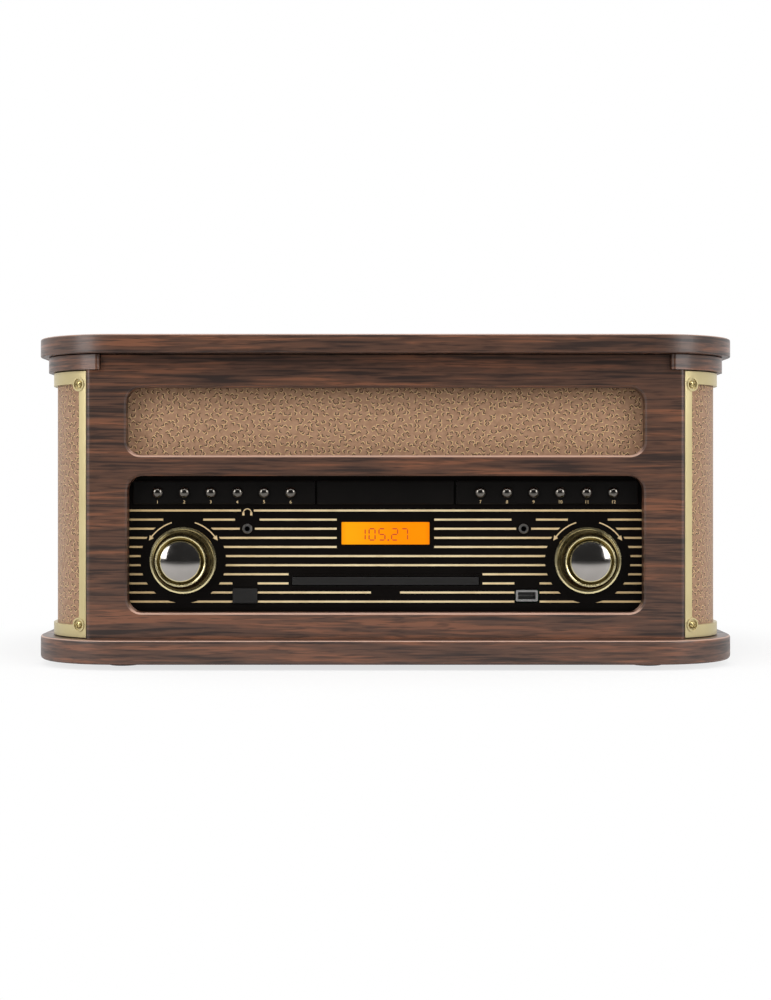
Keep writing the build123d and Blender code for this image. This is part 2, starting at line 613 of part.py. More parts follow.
# Control board behind the facia: circuit board, button switches, display module, two controls
board_y = button_back + BUTTON_TRAVEL + 4.2
board_t = 1.6
board_half = FACIA_HALF_W - 12.3
control = block(-board_half, board_half, board_y, board_y + board_t, FACIA_LOW + 8, FACIA_HIGH - 6)
drive_half = TRAY_HALF_W + DRIVE_WALL
drive_gap = drive_half + 3.0
drive_high = SLOT_HIGH + 20.0
control -= block(-drive_gap, drive_gap, board_y - 1, board_y + 3, 0, drive_high - 3.0)
for sx in (-1, 1):
    control -= block(sx * JACK_X - 6.2, sx * JACK_X + 6.2, board_y - 1, board_y + 3, JACK_Z - 6, JACK_Z + 6)
    control -= peg(sx * KNOB_X, KNOB_Z, SHAFT_R + 0.6, board_y - 1, board_y + 3)
control -= block(USB_X - 8, USB_X + 8, board_y - 1, board_y + 3, SOCKET_Z - 5, SOCKET_Z + 5)
fitted = [control]
switch_y = button_back + BUTTON_TRAVEL + 0.2
for x in button_xs:
    fitted.append(block(x - 3, x + 3, switch_y, board_y, BUTTON_Z - 3, BUTTON_Z + 3))
fitted.append(block(-36, 36, facia_back + 0.3, board_y, LCD_LOW - 2, LCD_HIGH + 4))
for sx in (-1, 1):
    can = peg(sx * KNOB_X, KNOB_Z, POT_R, board_y + board_t, board_y + board_t + 9)
    fitted.append(can)
latch_y = cap_back + POWER_TRAVEL + 0.2
fitted.append(block(-POWER_X - 6, -POWER_X + 6, latch_y, board_y, SOCKET_Z - 4, SOCKET_Z + 4))
save(Compound(children=fitted), "control_board")

# Disc drawer: a front strip and a tray with a round disc well and a slot for the pickup
tray_front_y = facia_front - 0.6
tray_y = tray_front_y + 3.5
tray_end = tray_y + TRAY_LENGTH
disc_y = tray_y + 8.0 + DISC_R
tray = through(0, TRAY_LOW + TRAY_FRONT_H / 2, 2 * TRAY_HALF_W, TRAY_FRONT_H, 0.6, tray_front_y, tray_y)
tray = fillet(tray.faces().sort_by(Axis.Y)[0].edges(), 0.5)
plate = block(-TRAY_HALF_W + 1.5, TRAY_HALF_W - 1.5, tray_y, tray_end, TRAY_LOW + 0.6, TRAY_LOW + 5.2)
plate = fillet(plate.edges().filter_by(Axis.Z).group_by(Axis.Y)[-1], 6.0)
tray += plate
tray -= disc(0, disc_y, TRAY_LOW + 2.4, DISC_R, 9)
tray -= disc(0, disc_y, TRAY_LOW + 1.8, 41.0, 9)
slot_w = 17.0
tray -= block(-slot_w, slot_w, disc_y - slot_w, tray_end + 1, 0, TRAY_LOW + 9)
save(tray, "cd_tray")

# Disc drive housing: a shell open at the front, with guide rails and a clamp bridge
drive_y = facia_back + DRIVE_SET_IN
drive_end = tray_end + 12.0
drive_low = drive_high - DRIVE_H
drive = block(-drive_half, drive_half, drive_y, drive_end, drive_low, drive_high)
drive = fillet(drive.edges().filter_by(Axis.Z), 3.0)
tunnel_half = TRAY_HALF_W + TRAY_FIT
drive -= block(-tunnel_half, tunnel_half, drive_y - 1, drive_end - 4, TRAY_LOW, SLOT_HIGH + 6)
drive -= block(-slot_w, slot_w, disc_y - slot_w, drive_end - 8, drive_low + 4, TRAY_LOW + 1)
foot_w, foot_l, foot_t = 12.0, 16.0, 3.0
stand_r = 5.0
for sx in (-1, 1):
    for y in (drive_y + 16, drive_end - 16):
        foot = block(sx * drive_half - foot_w, sx * drive_half + foot_w, y - foot_l / 2, y + foot_l / 2,
                     drive_low - foot_t, drive_low)
        stand = disc(sx * drive_half, y, BASE_TOP, stand_r, drive_low - foot_t - BASE_TOP)
        drive += foot + stand
hub_top = TRAY_LOW + 0.3
hub_low = drive_low + 4.0
turn_r, turn_t, shank_r = 13.0, 1.5, 5.5
hub = disc(0, disc_y, hub_low, shank_r, hub_top - turn_t - hub_low)
hub += disc(0, disc_y, hub_top - turn_t, turn_r, turn_t)
save(Compound(children=[drive, hub]), "cd_drive")

# Main circuit board on four pillars, with a finned heat sink and capacitors
pcb_w, pcb_l, pcb_t = 108.0, 110.0, 1.6
pcb_x1 = BOARD_IN - 17.0
pcb_x0 = pcb_x1 - pcb_w
pcb_y1 = REAR_IN_Y - 31.35
pcb_y0 = pcb_y1 - pcb_l
pcb_z = BASE_TOP + 8.0
pcb_top = pcb_z + pcb_t
pillar_r, pillar_inset = 3.0, 6.0
sink_w, sink_wall, sink_h = 50.0, 4.0, 34.4
fin_count, fin_t, fin_depth = 7, 1.8, 16.0
can_r, can_h, can_pitch = 8.0, 25.0, 24.0
fitted = [block(pcb_x0, pcb_x1, pcb_y0, pcb_y1, pcb_z, pcb_top)]
for x in (pcb_x0 + pillar_inset, pcb_x1 - pillar_inset):
    for y in (pcb_y0 + pillar_inset, pcb_y1 - pillar_inset):
        fitted.append(disc(x, y, BASE_TOP, pillar_r, pcb_z - BASE_TOP))
sink_x = pcb_x0 + 20.0
sink_y = pcb_y1 - 2 * pillar_inset - fin_depth - sink_wall
sink = block(sink_x, sink_x + sink_w, sink_y, sink_y + sink_wall, pcb_top, pcb_top + sink_h)
for i in range(fin_count):
    fin_x = sink_x + i * (sink_w - fin_t) / (fin_count - 1)
    sink += block(fin_x, fin_x + fin_t, sink_y + sink_wall, sink_y + sink_wall + fin_depth,
                  pcb_top, pcb_top + sink_h)
fitted.append(sink)
for i in range(3):
    can = disc(sink_x + i * can_pitch, pcb_y0 + can_pitch, pcb_top, can_r, can_h)
    fitted.append(can)
save(Compound(children=fitted), "main_board")

# Mains transformer: laminated core, winding bobbin and mounting feet
core_w, core_l, core_h = 66.0, 28.0, 54.0
winding_w, winding_l, winding_h = 42.0, 54.0, 32.0
ear_w, ear_l, ear_t, ear_hole_r = 84.0, 24.0, 2.0, 2.2
tx = -(BOARD_IN - 67.0)
ty = REAR_IN_Y - 61.35
core_z = BASE_TOP + ear_t
core = Pos(tx, ty, core_z + core_h / 2) * Box(core_w, core_l, core_h)
core = chamfer(core.edges().filter_by(Axis.Y), ear_t)
winding = Pos(tx, ty, core_z + core_h / 2) * Box(winding_w, winding_l, winding_h)
winding = fillet(winding.edges().filter_by(Axis.Z), winding_h / 4)
ears = Pos(tx, ty, BASE_TOP + ear_t / 2) * Box(ear_w, ear_l, ear_t)
for sx in (-1, 1):
    ears -= disc(tx + sx * (core_w + ear_w) / 4, ty, BASE_TOP - 1, ear_hole_r, ear_t + 2)
save(core + winding + ears, "transformer")

# Rear panel with rows of cooling slots and an opening for the connector tray
tray_half_w = 62.0
tray_z0, tray_z1 = 44.0, 92.0
rear = block(-SIDE_IN, SIDE_IN, REAR_IN_Y, REAR_Y, BASE_TOP, RAIL_TOP)
rear -= window(tray_half_w, tray_z0, tray_z1, REAR_IN_Y, REAR_Y, 4.0)
vent_w, vent_h, vent_pitch = 3.6, 42.0, 9.0
for sx in (-1, 1):
    for i in range(7):
        x = sx * (110 + i * vent_pitch)
        rear -= Pos(x, 0, 0) * window(vent_w / 2, 108, 108 + vent_h, REAR_IN_Y, REAR_Y, vent_w / 2 - 0.05)
save(rear, "rear_panel")

# Connector tray let into the rear panel: four phono sockets, an aerial socket and a mains inlet
tray_fit = 0.3
lip_w = 5.0
tray_wall = 2.0
tray_floor_y = REAR_IN_Y - 1.0
jack_tray = window(tray_half_w + lip_w, tray_z0 - lip_w, tray_z1 + lip_w, REAR_Y, REAR_Y + 1.6, 6.0)
jack_tray += window(tray_half_w - tray_fit, tray_z0 + tray_fit, tray_z1 - tray_fit,
                    tray_floor_y, REAR_Y + 0.1, 3.7)
jack_tray -= window(tray_half_w - tray_fit - tray_wall, tray_z0 + tray_fit + tray_wall,
                    tray_z1 - tray_fit - tray_wall, tray_floor_y + tray_wall, REAR_Y + 3, 2.0)
phono_r = 4.15
phono_len = 9.0
phono_y = tray_floor_y + tray_wall
phonos = []
for x in (6.0, 24.0):
    for z in (58.0, 78.0):
        barrel = peg(x, z, phono_r, phono_y - 0.2, phono_y + phono_len)
        collar = peg(x, z, 5.6, phono_y - 0.2, phono_y + 1.6)
        barrel = barrel + collar - peg(x, z, 1.65, phono_y + 1, phono_y + phono_len + 1)
        phonos.append(barrel)
aerial = peg(46.0, 68.0, 5.2, phono_y - 0.2, phono_y + 8.0) - peg(46.0, 68.0, 3.6, phono_y + 1, phono_y + 9)
aerial += peg(46.0, 68.0, 1.0, phono_y + 0.5, phono_y + 7.0)
inlet_x, inlet_z = -34.0, 68.0
inlet = Pos(inlet_x, 0, inlet_z) * window(15.0, -10.0, 10.0, phono_y - 0.2, phono_y + 8.0, 3.0)
inlet -= Pos(inlet_x, 0, inlet_z) * window(9.0, -4.6, 4.6, phono_y + 0.5, phono_y + 9.0, 4.5)
for sx in (-1, 1):
    inlet += peg(inlet_x + sx * 4.3, inlet_z, 1.15, phono_y + 0.4, phono_y + 7.0)
jack_tray = jack_tray + phonos + [aerial, inlet]
save(jack_tray, "rear_jack_tray")

# Deck plate: a moulded plate with a ring moat round the platter and a turned-up rim
deck_x = BOARD_IN - DECK_FIT
deck_back = REAR_IN_Y - DECK_FIT
deck = block(-deck_x, deck_x, DECK_FRONT, deck_back, DECK_TOP - DECK_T, DECK_TOP)
rim_h = 5.0
rim_w = 3.0
rim = block(-deck_x, deck_x, DECK_FRONT, deck_back, DECK_TOP, DECK_TOP + rim_h)
rim -= block(-deck_x + rim_w, deck_x - rim_w, DECK_FRONT + rim_w, deck_back - rim_w,
             DECK_TOP - 1, DECK_TOP + rim_h + 1)
deck += rim
deck -= both(block(POST_X - DECK_FIT, WIDTH, FRONT_Y, POST_BACK + DECK_FIT, 0, RAIL_TOP))
moat = disc(SPINDLE_X, DECK_MID_Y, DECK_TOP - 1.2, PLATTER_R + 4.0, 3)
moat -= disc(SPINDLE_X, DECK_MID_Y, DECK_TOP - 2, PLATTER_R - 8.0, 5)
deck -= moat
deck -= disc(SPINDLE_X, DECK_MID_Y, DECK_TOP - DECK_T - 1, BEARING_R, DECK_T + 2)
pulley_x = SPINDLE_X + PULLEY_AT * cos(radians(PULLEY_TURN))
pulley_y = DECK_MID_Y + PULLEY_AT * sin(radians(PULLEY_TURN))
deck -= disc(pulley_x, pulley_y, DECK_TOP - DECK_T - 1, 4.0, DECK_T + 2)
save(deck, "deck_plate")

# Platter bearing: a fixed post with a flange under the deck and a spindle for the record
bearing_top = PLATTER_TOP - 1.5
bearing = disc(SPINDLE_X, DECK_MID_Y, DECK_TOP - DECK_T - 2.5, 14.0, 2.5)
bearing += disc(SPINDLE_X, DECK_MID_Y, DECK_TOP - DECK_T, BEARING_R, bearing_top - DECK_TOP + DECK_T)
spindle_top = MAT_TOP + SPINDLE_RISE
spindle = disc(SPINDLE_X, DECK_MID_Y, bearing_top - 1, SPINDLE_R, spindle_top - bearing_top + 1)
spindle = fillet(spindle.edges().sort_by(Axis.Z)[-1], SPINDLE_R * 0.7)
save(bearing + spindle, "platter_bearing")

# Platter: a dish with a rim skirt, a drive rim for the belt and a hub
hub_r = 12.0
skirt_low = PLATTER_LOW
bore_r = BEARING_R + BEARING_FIT
top_t = 2.5
under = PLATTER_TOP - top_t
hole_r = SPINDLE_R + SPINDLE_GAP
platter_outline = [
    (hole_r, PLATTER_TOP), (MAT_R + 0.5, PLATTER_TOP), (MAT_R + 1.0, PLATTER_TOP + 1.2),
    (PLATTER_R - 0.6, PLATTER_TOP + 1.2), (PLATTER_R, PLATTER_TOP + 0.6), (PLATTER_R, skirt_low + 0.6),
    (PLATTER_R - 0.6, skirt_low), (PLATTER_R - PLATTER_WALL, skirt_low), (PLATTER_R - PLATTER_WALL, under),
    (DRIVE_RIM_R, under), (DRIVE_RIM_R, skirt_low + 0.6), (DRIVE_RIM_R - PLATTER_WALL, skirt_low + 0.6),
    (DRIVE_RIM_R - PLATTER_WALL, under), (hub_r, under), (hub_r, skirt_low + 0.2),
    (bore_r, skirt_low + 0.2), (bore_r, bearing_top + 0.3), (hole_r, bearing_top + 0.3),
]
platter_face = make_face(Plane.XZ * Polyline(*platter_outline, close=True))
platter = revolve(platter_face, Axis.Z)
save(Pos(SPINDLE_X, DECK_MID_Y, 0) * platter, "platter")

# Ribbed rubber mat in the platter's dish
mat_outline = [(hole_r, PLATTER_TOP), (hole_r, MAT_TOP - 0.5), (18, MAT_TOP - 0.5), (18.6, MAT_TOP)]
rib_count = 6
for i in range(rib_count):
    r = 30.0 + i * 11.0
    mat_outline += [(r, MAT_TOP), (r + 0.5, MAT_TOP - 0.6), (r + 2.5, MAT_TOP - 0.6), (r + 3.0, MAT_TOP)]
mat_outline += [(MAT_R - 0.5, MAT_TOP), (MAT_R, MAT_TOP - 0.5), (MAT_R, PLATTER_TOP)]
mat_face = make_face(Plane.XZ * Polyline(*mat_outline, close=True))
mat = revolve(mat_face, Axis.Z)
save(Pos(SPINDLE_X, DECK_MID_Y, 0) * mat, "platter_mat")

# Motor under the deck, and its crowned pulley above it
motor_top = DECK_TOP - DECK_T
motor = disc(pulley_x, pulley_y, motor_top - MOTOR_H, MOTOR_R, MOTOR_H - 1.5)
motor = fillet(motor.edges().group_by(Axis.Z)[0], 1.5)
motor += disc(pulley_x, pulley_y, motor_top - 1.5, MOTOR_R + 5.0, 1.5)
motor -= disc(pulley_x, pulley_y, motor_top - 4.0, MOTOR_SHAFT_R + BEARING_FIT, 5.0)
save(motor, "motor")
belt_z = under - 0.6 - BELT_W
pulley_outline = [
    (0, motor_top - 3.5), (MOTOR_SHAFT_R, motor_top - 3.5), (MOTOR_SHAFT_R, belt_z - 1.4),
    (PULLEY_R + 1.2, belt_z - 1.4),
    (PULLEY_R + 1.2, belt_z - 0.4), (PULLEY_R - 0.2, belt_z), (PULLEY_R, belt_z + BELT_W / 2),
    (PULLEY_R - 0.2, belt_z + BELT_W), (0, belt_z + BELT_W),
]
pulley_face = make_face(Plane.XZ * Polyline(*pulley_outline, close=True))
pulley = revolve(pulley_face, Axis.Z)
save(Pos(pulley_x, pulley_y, 0) * pulley, "motor_pulley")


# Drive belt: two arcs joined by the two outer tangents of the drive rim and the pulley
def loop_face(big, small):
    """The area inside a taut loop round a circle at the origin and one at PULLEY_AT along X."""
    lean = acos((big - small) / PULLEY_AT)
    up, out = sin(lean), cos(lean)
    top_big, top_small = (big * out, big * up), (PULLEY_AT + small * out, small * up)
    low_big, low_small = (big * out, -big * up), (PULLEY_AT + small * out, -small * up)
    edges = [
        Line(top_big, top_small),
        ThreePointArc(top_small, (PULLEY_AT + small, 0), low_small),
        Line(low_small, low_big),
        ThreePointArc(low_big, (-big, 0), top_big),
    ]
    return make_face(Wire(edges))


belt_in_big = DRIVE_RIM_R + BELT_FIT
belt_in_small = PULLEY_R + BELT_FIT
belt = loop_face(belt_in_big + BELT_T, belt_in_small + BELT_T) - loop_face(belt_in_big, belt_in_small)
belt = Pos(SPINDLE_X, DECK_MID_Y, belt_z) * Rot(0, 0, PULLEY_TURN) * extrude(belt, BELT_W)
save(belt, "drive_belt")

# Tonearm base with a guide for the lifter, and the rest post
base_top = DECK_TOP + ARM_BASE_H
lifter_mid = 243.0
guide_x = ARM_X + LIFTER_AT * cos(radians(lifter_mid))
guide_y = ARM_Y + LIFTER_AT * sin(radians(lifter_mid))
arm_post_top = ARM_Z - 11.0
arm_base = disc(ARM_X, ARM_Y, DECK_TOP, ARM_BASE_R, ARM_BASE_H)
arm_base = fillet(arm_base.edges().sort_by(Axis.Z)[-1], 2.0)
arm_base += disc(ARM_X, ARM_Y, base_top - 1, 8.0, arm_post_top - base_top + 1)
arm_base += disc(guide_x, guide_y, base_top - 1, 4.6, 4.0)
arm_base -= disc(guide_x, guide_y, DECK_TOP + 1, LIFTER_PIN_R + LIFTER_FIT, 20)
cue_x = ARM_X + CUE_X
cue_y = ARM_Y - 6.0
cue_z = DECK_TOP + 8.0
for sx in (-1, 1):
    ear = block(cue_x + sx * 5.0 - 1.5, cue_x + sx * 5.0 + 1.5, cue_y - 5, cue_y + 5, DECK_TOP, cue_z + 4)
    arm_base += ear
arm_base += block(ARM_X + 20, cue_x + 6.5, cue_y - 5, cue_y + 5, DECK_TOP, DECK_TOP + 3.0)
arm_base -= across(cue_y, cue_z, 1.58, cue_x - 7, cue_x + 7)
save(arm_base, "tonearm_base")

rest_y = ARM_Y - REST_AT
seat_z = ARM_Z - ARM_R - 0.3
rest_w = ARM_R + 0.4
rest = disc(ARM_X, rest_y, DECK_TOP, 9.0, 3.0)
rest += disc(ARM_X, rest_y, DECK_TOP + 2.0, 3.5, seat_z - DECK_TOP - 3.0)
rest += block(ARM_X - rest_w, ARM_X + rest_w + 2.2, rest_y - 5, rest_y + 5, seat_z - 2.5, seat_z)
rest += block(ARM_X + rest_w, ARM_X + rest_w + 2.2, rest_y - 5, rest_y + 5, seat_z - 0.5, ARM_Z + 3.0)
save(rest, "arm_rest")

# Lifter: an arc-shaped bar on a sliding pin that raises the arm
lift_t, lift_half, lift_gap = 2.4, 1.5, 0.3
lift_low = ARM_Z - ARM_R - lift_gap - lift_t
bar_ring = disc(ARM_X, ARM_Y, lift_low, LIFTER_AT + lift_half, lift_t)
bar_ring -= disc(ARM_X, ARM_Y, lift_low - 1, LIFTER_AT - lift_half, lift_t + 2)
wedge_far = 60.0
reach = [(0, 0)]
for a in (206.0, 243.0, 280.0):
    reach.append((wedge_far * cos(radians(a)), wedge_far * sin(radians(a))))
wedge = Pos(ARM_X, ARM_Y, lift_low - 1) * extrude(make_face(Polyline(*reach, close=True)), 5)
lifter = bar_ring & wedge
lifter += disc(guide_x, guide_y, DECK_TOP + 3.0, LIFTER_PIN_R, lift_low - DECK_TOP - 2.0)
save(lifter, "arm_lifter")

# Cue lever: a small cranked lever on a cross pin
cue = across(cue_y, cue_z, 1.5, cue_x - 6.5, cue_x + 6.5)
cue += across(cue_y, cue_z, 3.0, cue_x - 3.0, cue_x + 3.0)
stem_start = cue_y - 1.0
stem = block(cue_x - 1.5, cue_x + 1.5, cue_y - CUE_LENGTH, stem_start, cue_z - 1.2, cue_z + 1.2)
tip = Pos(cue_x, cue_y - CUE_LENGTH, cue_z) * Rot(0, 90, 0) * Cylinder(2.6, 8.0)
cue += stem + fillet(tip.edges(), 0.8)
save(cue, "cue_lever")

# Tonearm gimbal: a yoke that turns on the post, with a hole in each cheek
yoke_low = arm_post_top + 0.4
yoke_r = 12.0
cheek_in = 7.2
yoke = disc(ARM_X, ARM_Y, yoke_low, yoke_r, 3.0)
cheeks = disc(ARM_X, ARM_Y, yoke_low + 2.5, yoke_r, ARM_Z + 3.5 - yoke_low)
cheeks -= block(ARM_X - cheek_in, ARM_X + cheek_in, ARM_Y - 20, ARM_Y + 20, 0, RAIL_TOP)
cheeks &= block(ARM_X - 20, ARM_X + 20, ARM_Y - 6, ARM_Y + 6, 0, RAIL_TOP)
yoke += cheeks
yoke -= across(ARM_Y, ARM_Z, ARM_PIN_R + ARM_PIN_FIT, ARM_X - 20, ARM_X + 20)
save(yoke, "tonearm_gimbal")

# Tonearm: pivot block with cross pins, round tube, angled head shell with a finger lift, weight
head_y = ARM_Y - ARM_REACH
tube_end = head_y + 22.0
arm = peg(ARM_X, ARM_Z, ARM_R, tube_end, ARM_Y + ARM_TAIL - 8)
hub_block = block(ARM_X - 6.4, ARM_X + 6.4, ARM_Y - 9, ARM_Y + 9, ARM_Z - 5.5, ARM_Z + 5.5)
arm += fillet(hub_block.edges(), 1.0)
arm += across(ARM_Y, ARM_Z, ARM_PIN_R, ARM_X - 10.0, ARM_X + 10.0)
weight = peg(ARM_X, ARM_Z, 9.5, ARM_Y + 16, ARM_Y + ARM_TAIL)
arm += chamfer(weight.edges(), 1.0)
head_l, head_w, head_tip_w = 33.0, 13.0, 11.0
collar_l, collar_r, neck_l = 4.0, ARM_R + 1.0, 9.0
head_top, head_tip_low = 2.6, 0.4
finger_l, finger_w, finger_t = 15.0, 5.0, 1.2
swing = Pos(ARM_X, tube_end + 3, ARM_Z) * Rot(0, 0, HEAD_TURN)
head_plan = Polyline(
    (-collar_r, collar_l), (-head_w / 2, -neck_l), (-head_tip_w / 2, -head_l),
    (head_tip_w / 2, -head_l), (head_w / 2, -neck_l), (collar_r, collar_l), close=True,
)
head_side = Polyline(
    (collar_l, -collar_r), (collar_l, collar_r), (-neck_l, collar_r - 1.3), (-head_l, head_top),
    (-head_l, head_tip_low), (-head_l + neck_l, -head_top), (-neck_l, -collar_r + 0.7), close=True,
)
head = extrude(Plane.XY.offset(-head_w / 2) * make_face(head_plan), head_w)
head &= extrude(Plane.YZ.offset(-head_w) * make_face(head_side), 2 * head_w)
upright = head.edges().filter_by(Axis.Z).group_by(Axis.Y)[0]
head = fillet(upright, 2.0)
finger_y = 3.0 - head_l
finger = block(head_tip_w / 2 - 1.0, finger_l, finger_y, finger_y + finger_w,
               head_tip_low + 0.2, head_tip_low + 0.2 + finger_t)
finger = fillet(finger.edges().filter_by(Axis.Z).group_by(Axis.X)[-1], 1.8)
arm += swing * (head + finger)
save(arm, "tonearm")

# Cartridge under the head shell with its stylus
cartridge_w, cartridge_l, cartridge_low = 9.0, 17.0, 11.0
cartridge_y = 3.0 - head_l
stylus_r, stylus_h = 1.3, 4.2
cartridge = swing * block(-cartridge_w / 2, cartridge_w / 2, cartridge_y, cartridge_y + cartridge_l,
                          -cartridge_low, 0)
cartridge -= swing * head
cartridge = cartridge.solids().sort_by(Axis.Z)[0]
cartridge = chamfer(cartridge.edges().group_by(Axis.Z)[0], 1.2)
stylus = Pos(0, cartridge_y + 4.0, -cartridge_low - stylus_h / 3) * Cone(0.4, stylus_r, stylus_h)
cartridge += swing * stylus
save(cartridge, "cartridge")

# Speed selector: a round knob with a pointer, and the automatic stop slider
selector = disc(SELECTOR_X, SELECTOR_Y, DECK_TOP + 0.4, 11.0, 6.0)
selector = chamfer(selector.edges().sort_by(Axis.Z)[-1], 1.2)
pointer = block(SELECTOR_X - 2.0, SELECTOR_X + 2.0, SELECTOR_Y - 15.5, SELECTOR_Y,
                DECK_TOP + 1.4, DECK_TOP + 5.0)
selector += fillet(pointer.edges().filter_by(Axis.Z), 1.2)
save(selector, "speed_selector")
slider = block(SELECTOR_X - 3, SELECTOR_X + 3, AUTOSTOP_Y - 4, AUTOSTOP_Y + 4, DECK_TOP + 0.4, DECK_TOP + 5.0)
slider = chamfer(slider.faces().sort_by(Axis.Z)[-1].edges(), 1.0)
slider += block(SELECTOR_X - 4.5, SELECTOR_X + 4.5, AUTOSTOP_Y - 6, AUTOSTOP_Y + 6,
                DECK_TOP + 0.4, DECK_TOP + 1.6)
save(slider, "autostop_slider")

# Lid: one thick board with the base's outline and softened edges
lid = slab(0, LID_LOW, LID_TOP, REAR_CORNER_R)
lid = fillet(lid.faces().sort_by(Axis.Z)[-1].edges(), LID_EDGE_R)
lid = fillet(lid.faces().sort_by(Axis.Z)[0].edges(), LID_EDGE_R * 0.6)
save(lid, "lid_plate")

# Two rubber buffers under the lid's front edge
buffer_y = (PANEL_Y + PANEL_BACK) / 2
buffer_r, buffer_play = 4.0, 0.05
buffer = disc(PANEL_HALF_W - 24.0, buffer_y, RAIL_TOP + buffer_play, buffer_r, LID_GAP - buffer_play)
save(both(buffer), "lid_buffers")

# Lid hinges: five interleaved knuckles each, the pin held by the cabinet leaf
knuckle_w = HINGE_W / 5
knuckle_gap = 0.15
cabinet_leaves, lid_leaves = [], []
for sx in (-1, 1):
    start = sx * HINGE_X - HINGE_W / 2
    leaf_low = block(start, start + HINGE_W, REAR_Y, REAR_Y + HINGE_LEAF_T,
                     HINGE_Z - KNUCKLE_R - 0.5 - HINGE_LEAF_H, HINGE_Z - KNUCKLE_R - 0.4)
    leaf_high = block(start, start + HINGE_W, REAR_Y, REAR_Y + HINGE_LEAF_T,
                      HINGE_Z + KNUCKLE_R + 0.4, HINGE_Z + KNUCKLE_R + 0.5 + HINGE_LEAF_H - 2)
    for i in range(5):
        x0, x1 = start + i * knuckle_w + knuckle_gap, start + (i + 1) * knuckle_w - knuckle_gap
        knuckle = across(HINGE_Y, HINGE_Z, KNUCKLE_R, x0, x1)
        if i % 2 == 0:
            tab = block(x0, x1, REAR_Y, REAR_Y + HINGE_LEAF_T, HINGE_Z - KNUCKLE_R - 1, HINGE_Z)
            leaf_low += knuckle + tab
        else:
            tab = block(x0, x1, REAR_Y + KNUCKLE_CLEAR, REAR_Y + HINGE_LEAF_T,
                        HINGE_Z, HINGE_Z + KNUCKLE_R + 1)
            leaf_high += knuckle + tab
    leaf_high -= across(HINGE_Y, HINGE_Z, HINGE_PIN_R + HINGE_PIN_FIT, start - 1, start + HINGE_W + 1)
    leaf_low += across(HINGE_Y, HINGE_Z, HINGE_PIN_R, start + 0.5, start + HINGE_W - 0.5)
    cabinet_leaves.append(leaf_low)
    lid_leaves.append(leaf_high)
save(Compound(children=lid_leaves), "lid_hinge_leaves")

# Lid stay: an arm on a bracket, whose pin runs in a sloped slot under the lid
slope = radians(STAY_SLOPE)
stay_down = radians(STAY_SLOPE + STAY_CLOSED)
stay_y = HINGE_Y - STAY_A * cos(stay_down)
stay_z = HINGE_Z - STAY_A * sin(stay_down)
arm_x1 = BOARD_IN - 5.5
arm_x0 = arm_x1 - STAY_T
track_x1 = arm_x0 - 1.5
track_x0 = track_x1 - STAY_T


def slot_point(s):
    """The point at this distance from the hinge axis along the slot, lid closed."""
    return HINGE_Y - s * cos(slope), HINGE_Z - s * sin(slope)


far_s = 2 * STAY_A * cos(radians(STAY_CLOSED))
near_s = 2 * STAY_A * cos(radians(STAY_CLOSED + LID_OPEN_DEG))
pin_y, pin_z = slot_point(far_s)
stay_bracket = block(BOARD_IN - 1.5, BOARD_IN, stay_y - 12, stay_y + 12, stay_z - 9, stay_z + 9)
stay_bracket = fillet(stay_bracket.edges().filter_by(Axis.X), 4.0)
stay_bracket += across(stay_y, stay_z, 4.0, arm_x1 + 0.3, BOARD_IN - 1)
stay_bracket += across(stay_y, stay_z, STAY_PIN_R, arm_x0 - 1.0, BOARD_IN - 1)
save(Compound(children=[*cabinet_leaves, stay_bracket]), "cabinet_hinges")

stay = across(stay_y, stay_z, STAY_EYE_R, arm_x0, arm_x1) + across(pin_y, pin_z, STAY_TIP_R, arm_x0, arm_x1)
stay_len = hypot(pin_y - stay_y, pin_z - stay_z)
lean = degrees(atan2(pin_z - stay_z, pin_y - stay_y))
bar_mid = Pos((arm_x0 + arm_x1) / 2, (stay_y + pin_y) / 2, (stay_z + pin_z) / 2)
stay += bar_mid * Rot(lean, 0, 0) * Box(STAY_T, stay_len, STAY_BAR_W)
stay -= across(stay_y, stay_z, STAY_PIN_R + 0.08, arm_x0 - 1, arm_x1 + 1)
stay += across(pin_y, pin_z, STAY_PIN_R, track_x0 - 1.0, arm_x0 + 0.5)
save(stay, "stay_arm")

slot_y0, slot_z0 = slot_point(near_s - STAY_PLAY)
slot_y1, slot_z1 = slot_point(far_s + STAY_PLAY)
end_y0, end_z0 = slot_point(near_s - 8)
end_y1, end_z1 = slot_point(far_s + 7)
lid_face = LID_LOW - 0.02
flange = [(end_y0, lid_face), (end_y1, lid_face), (end_y1, end_z1 - 5), (end_y0, end_z0 - 5)]
track = extrude(Plane.YZ.offset(track_x0) * make_face(Polyline(*flange, close=True)), STAY_T)
slot_len = hypot(slot_y1 - slot_y0, slot_z1 - slot_z0)
slot_lean = degrees(atan2(slot_z1 - slot_z0, slot_y1 - slot_y0))
cutter = Pos((track_x0 + track_x1) / 2, (slot_y0 + slot_y1) / 2, (slot_z0 + slot_z1) / 2)
cutter = cutter * Rot(slot_lean, 0, 0) * Box(STAY_T + 2, slot_len, 2 * STAY_SLOT_R)
cutter += across(slot_y0, slot_z0, STAY_SLOT_R, track_x0 - 1, track_x1 + 1)
cutter += across(slot_y1, slot_z1, STAY_SLOT_R, track_x0 - 1, track_x1 + 1)
track -= cutter
top_flange = block(track_x0 - 10, track_x0 + 0.1, end_y1, end_y0, LID_LOW - 1.2, lid_face)
track += top_flange
save(track, "stay_track")
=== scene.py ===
import math

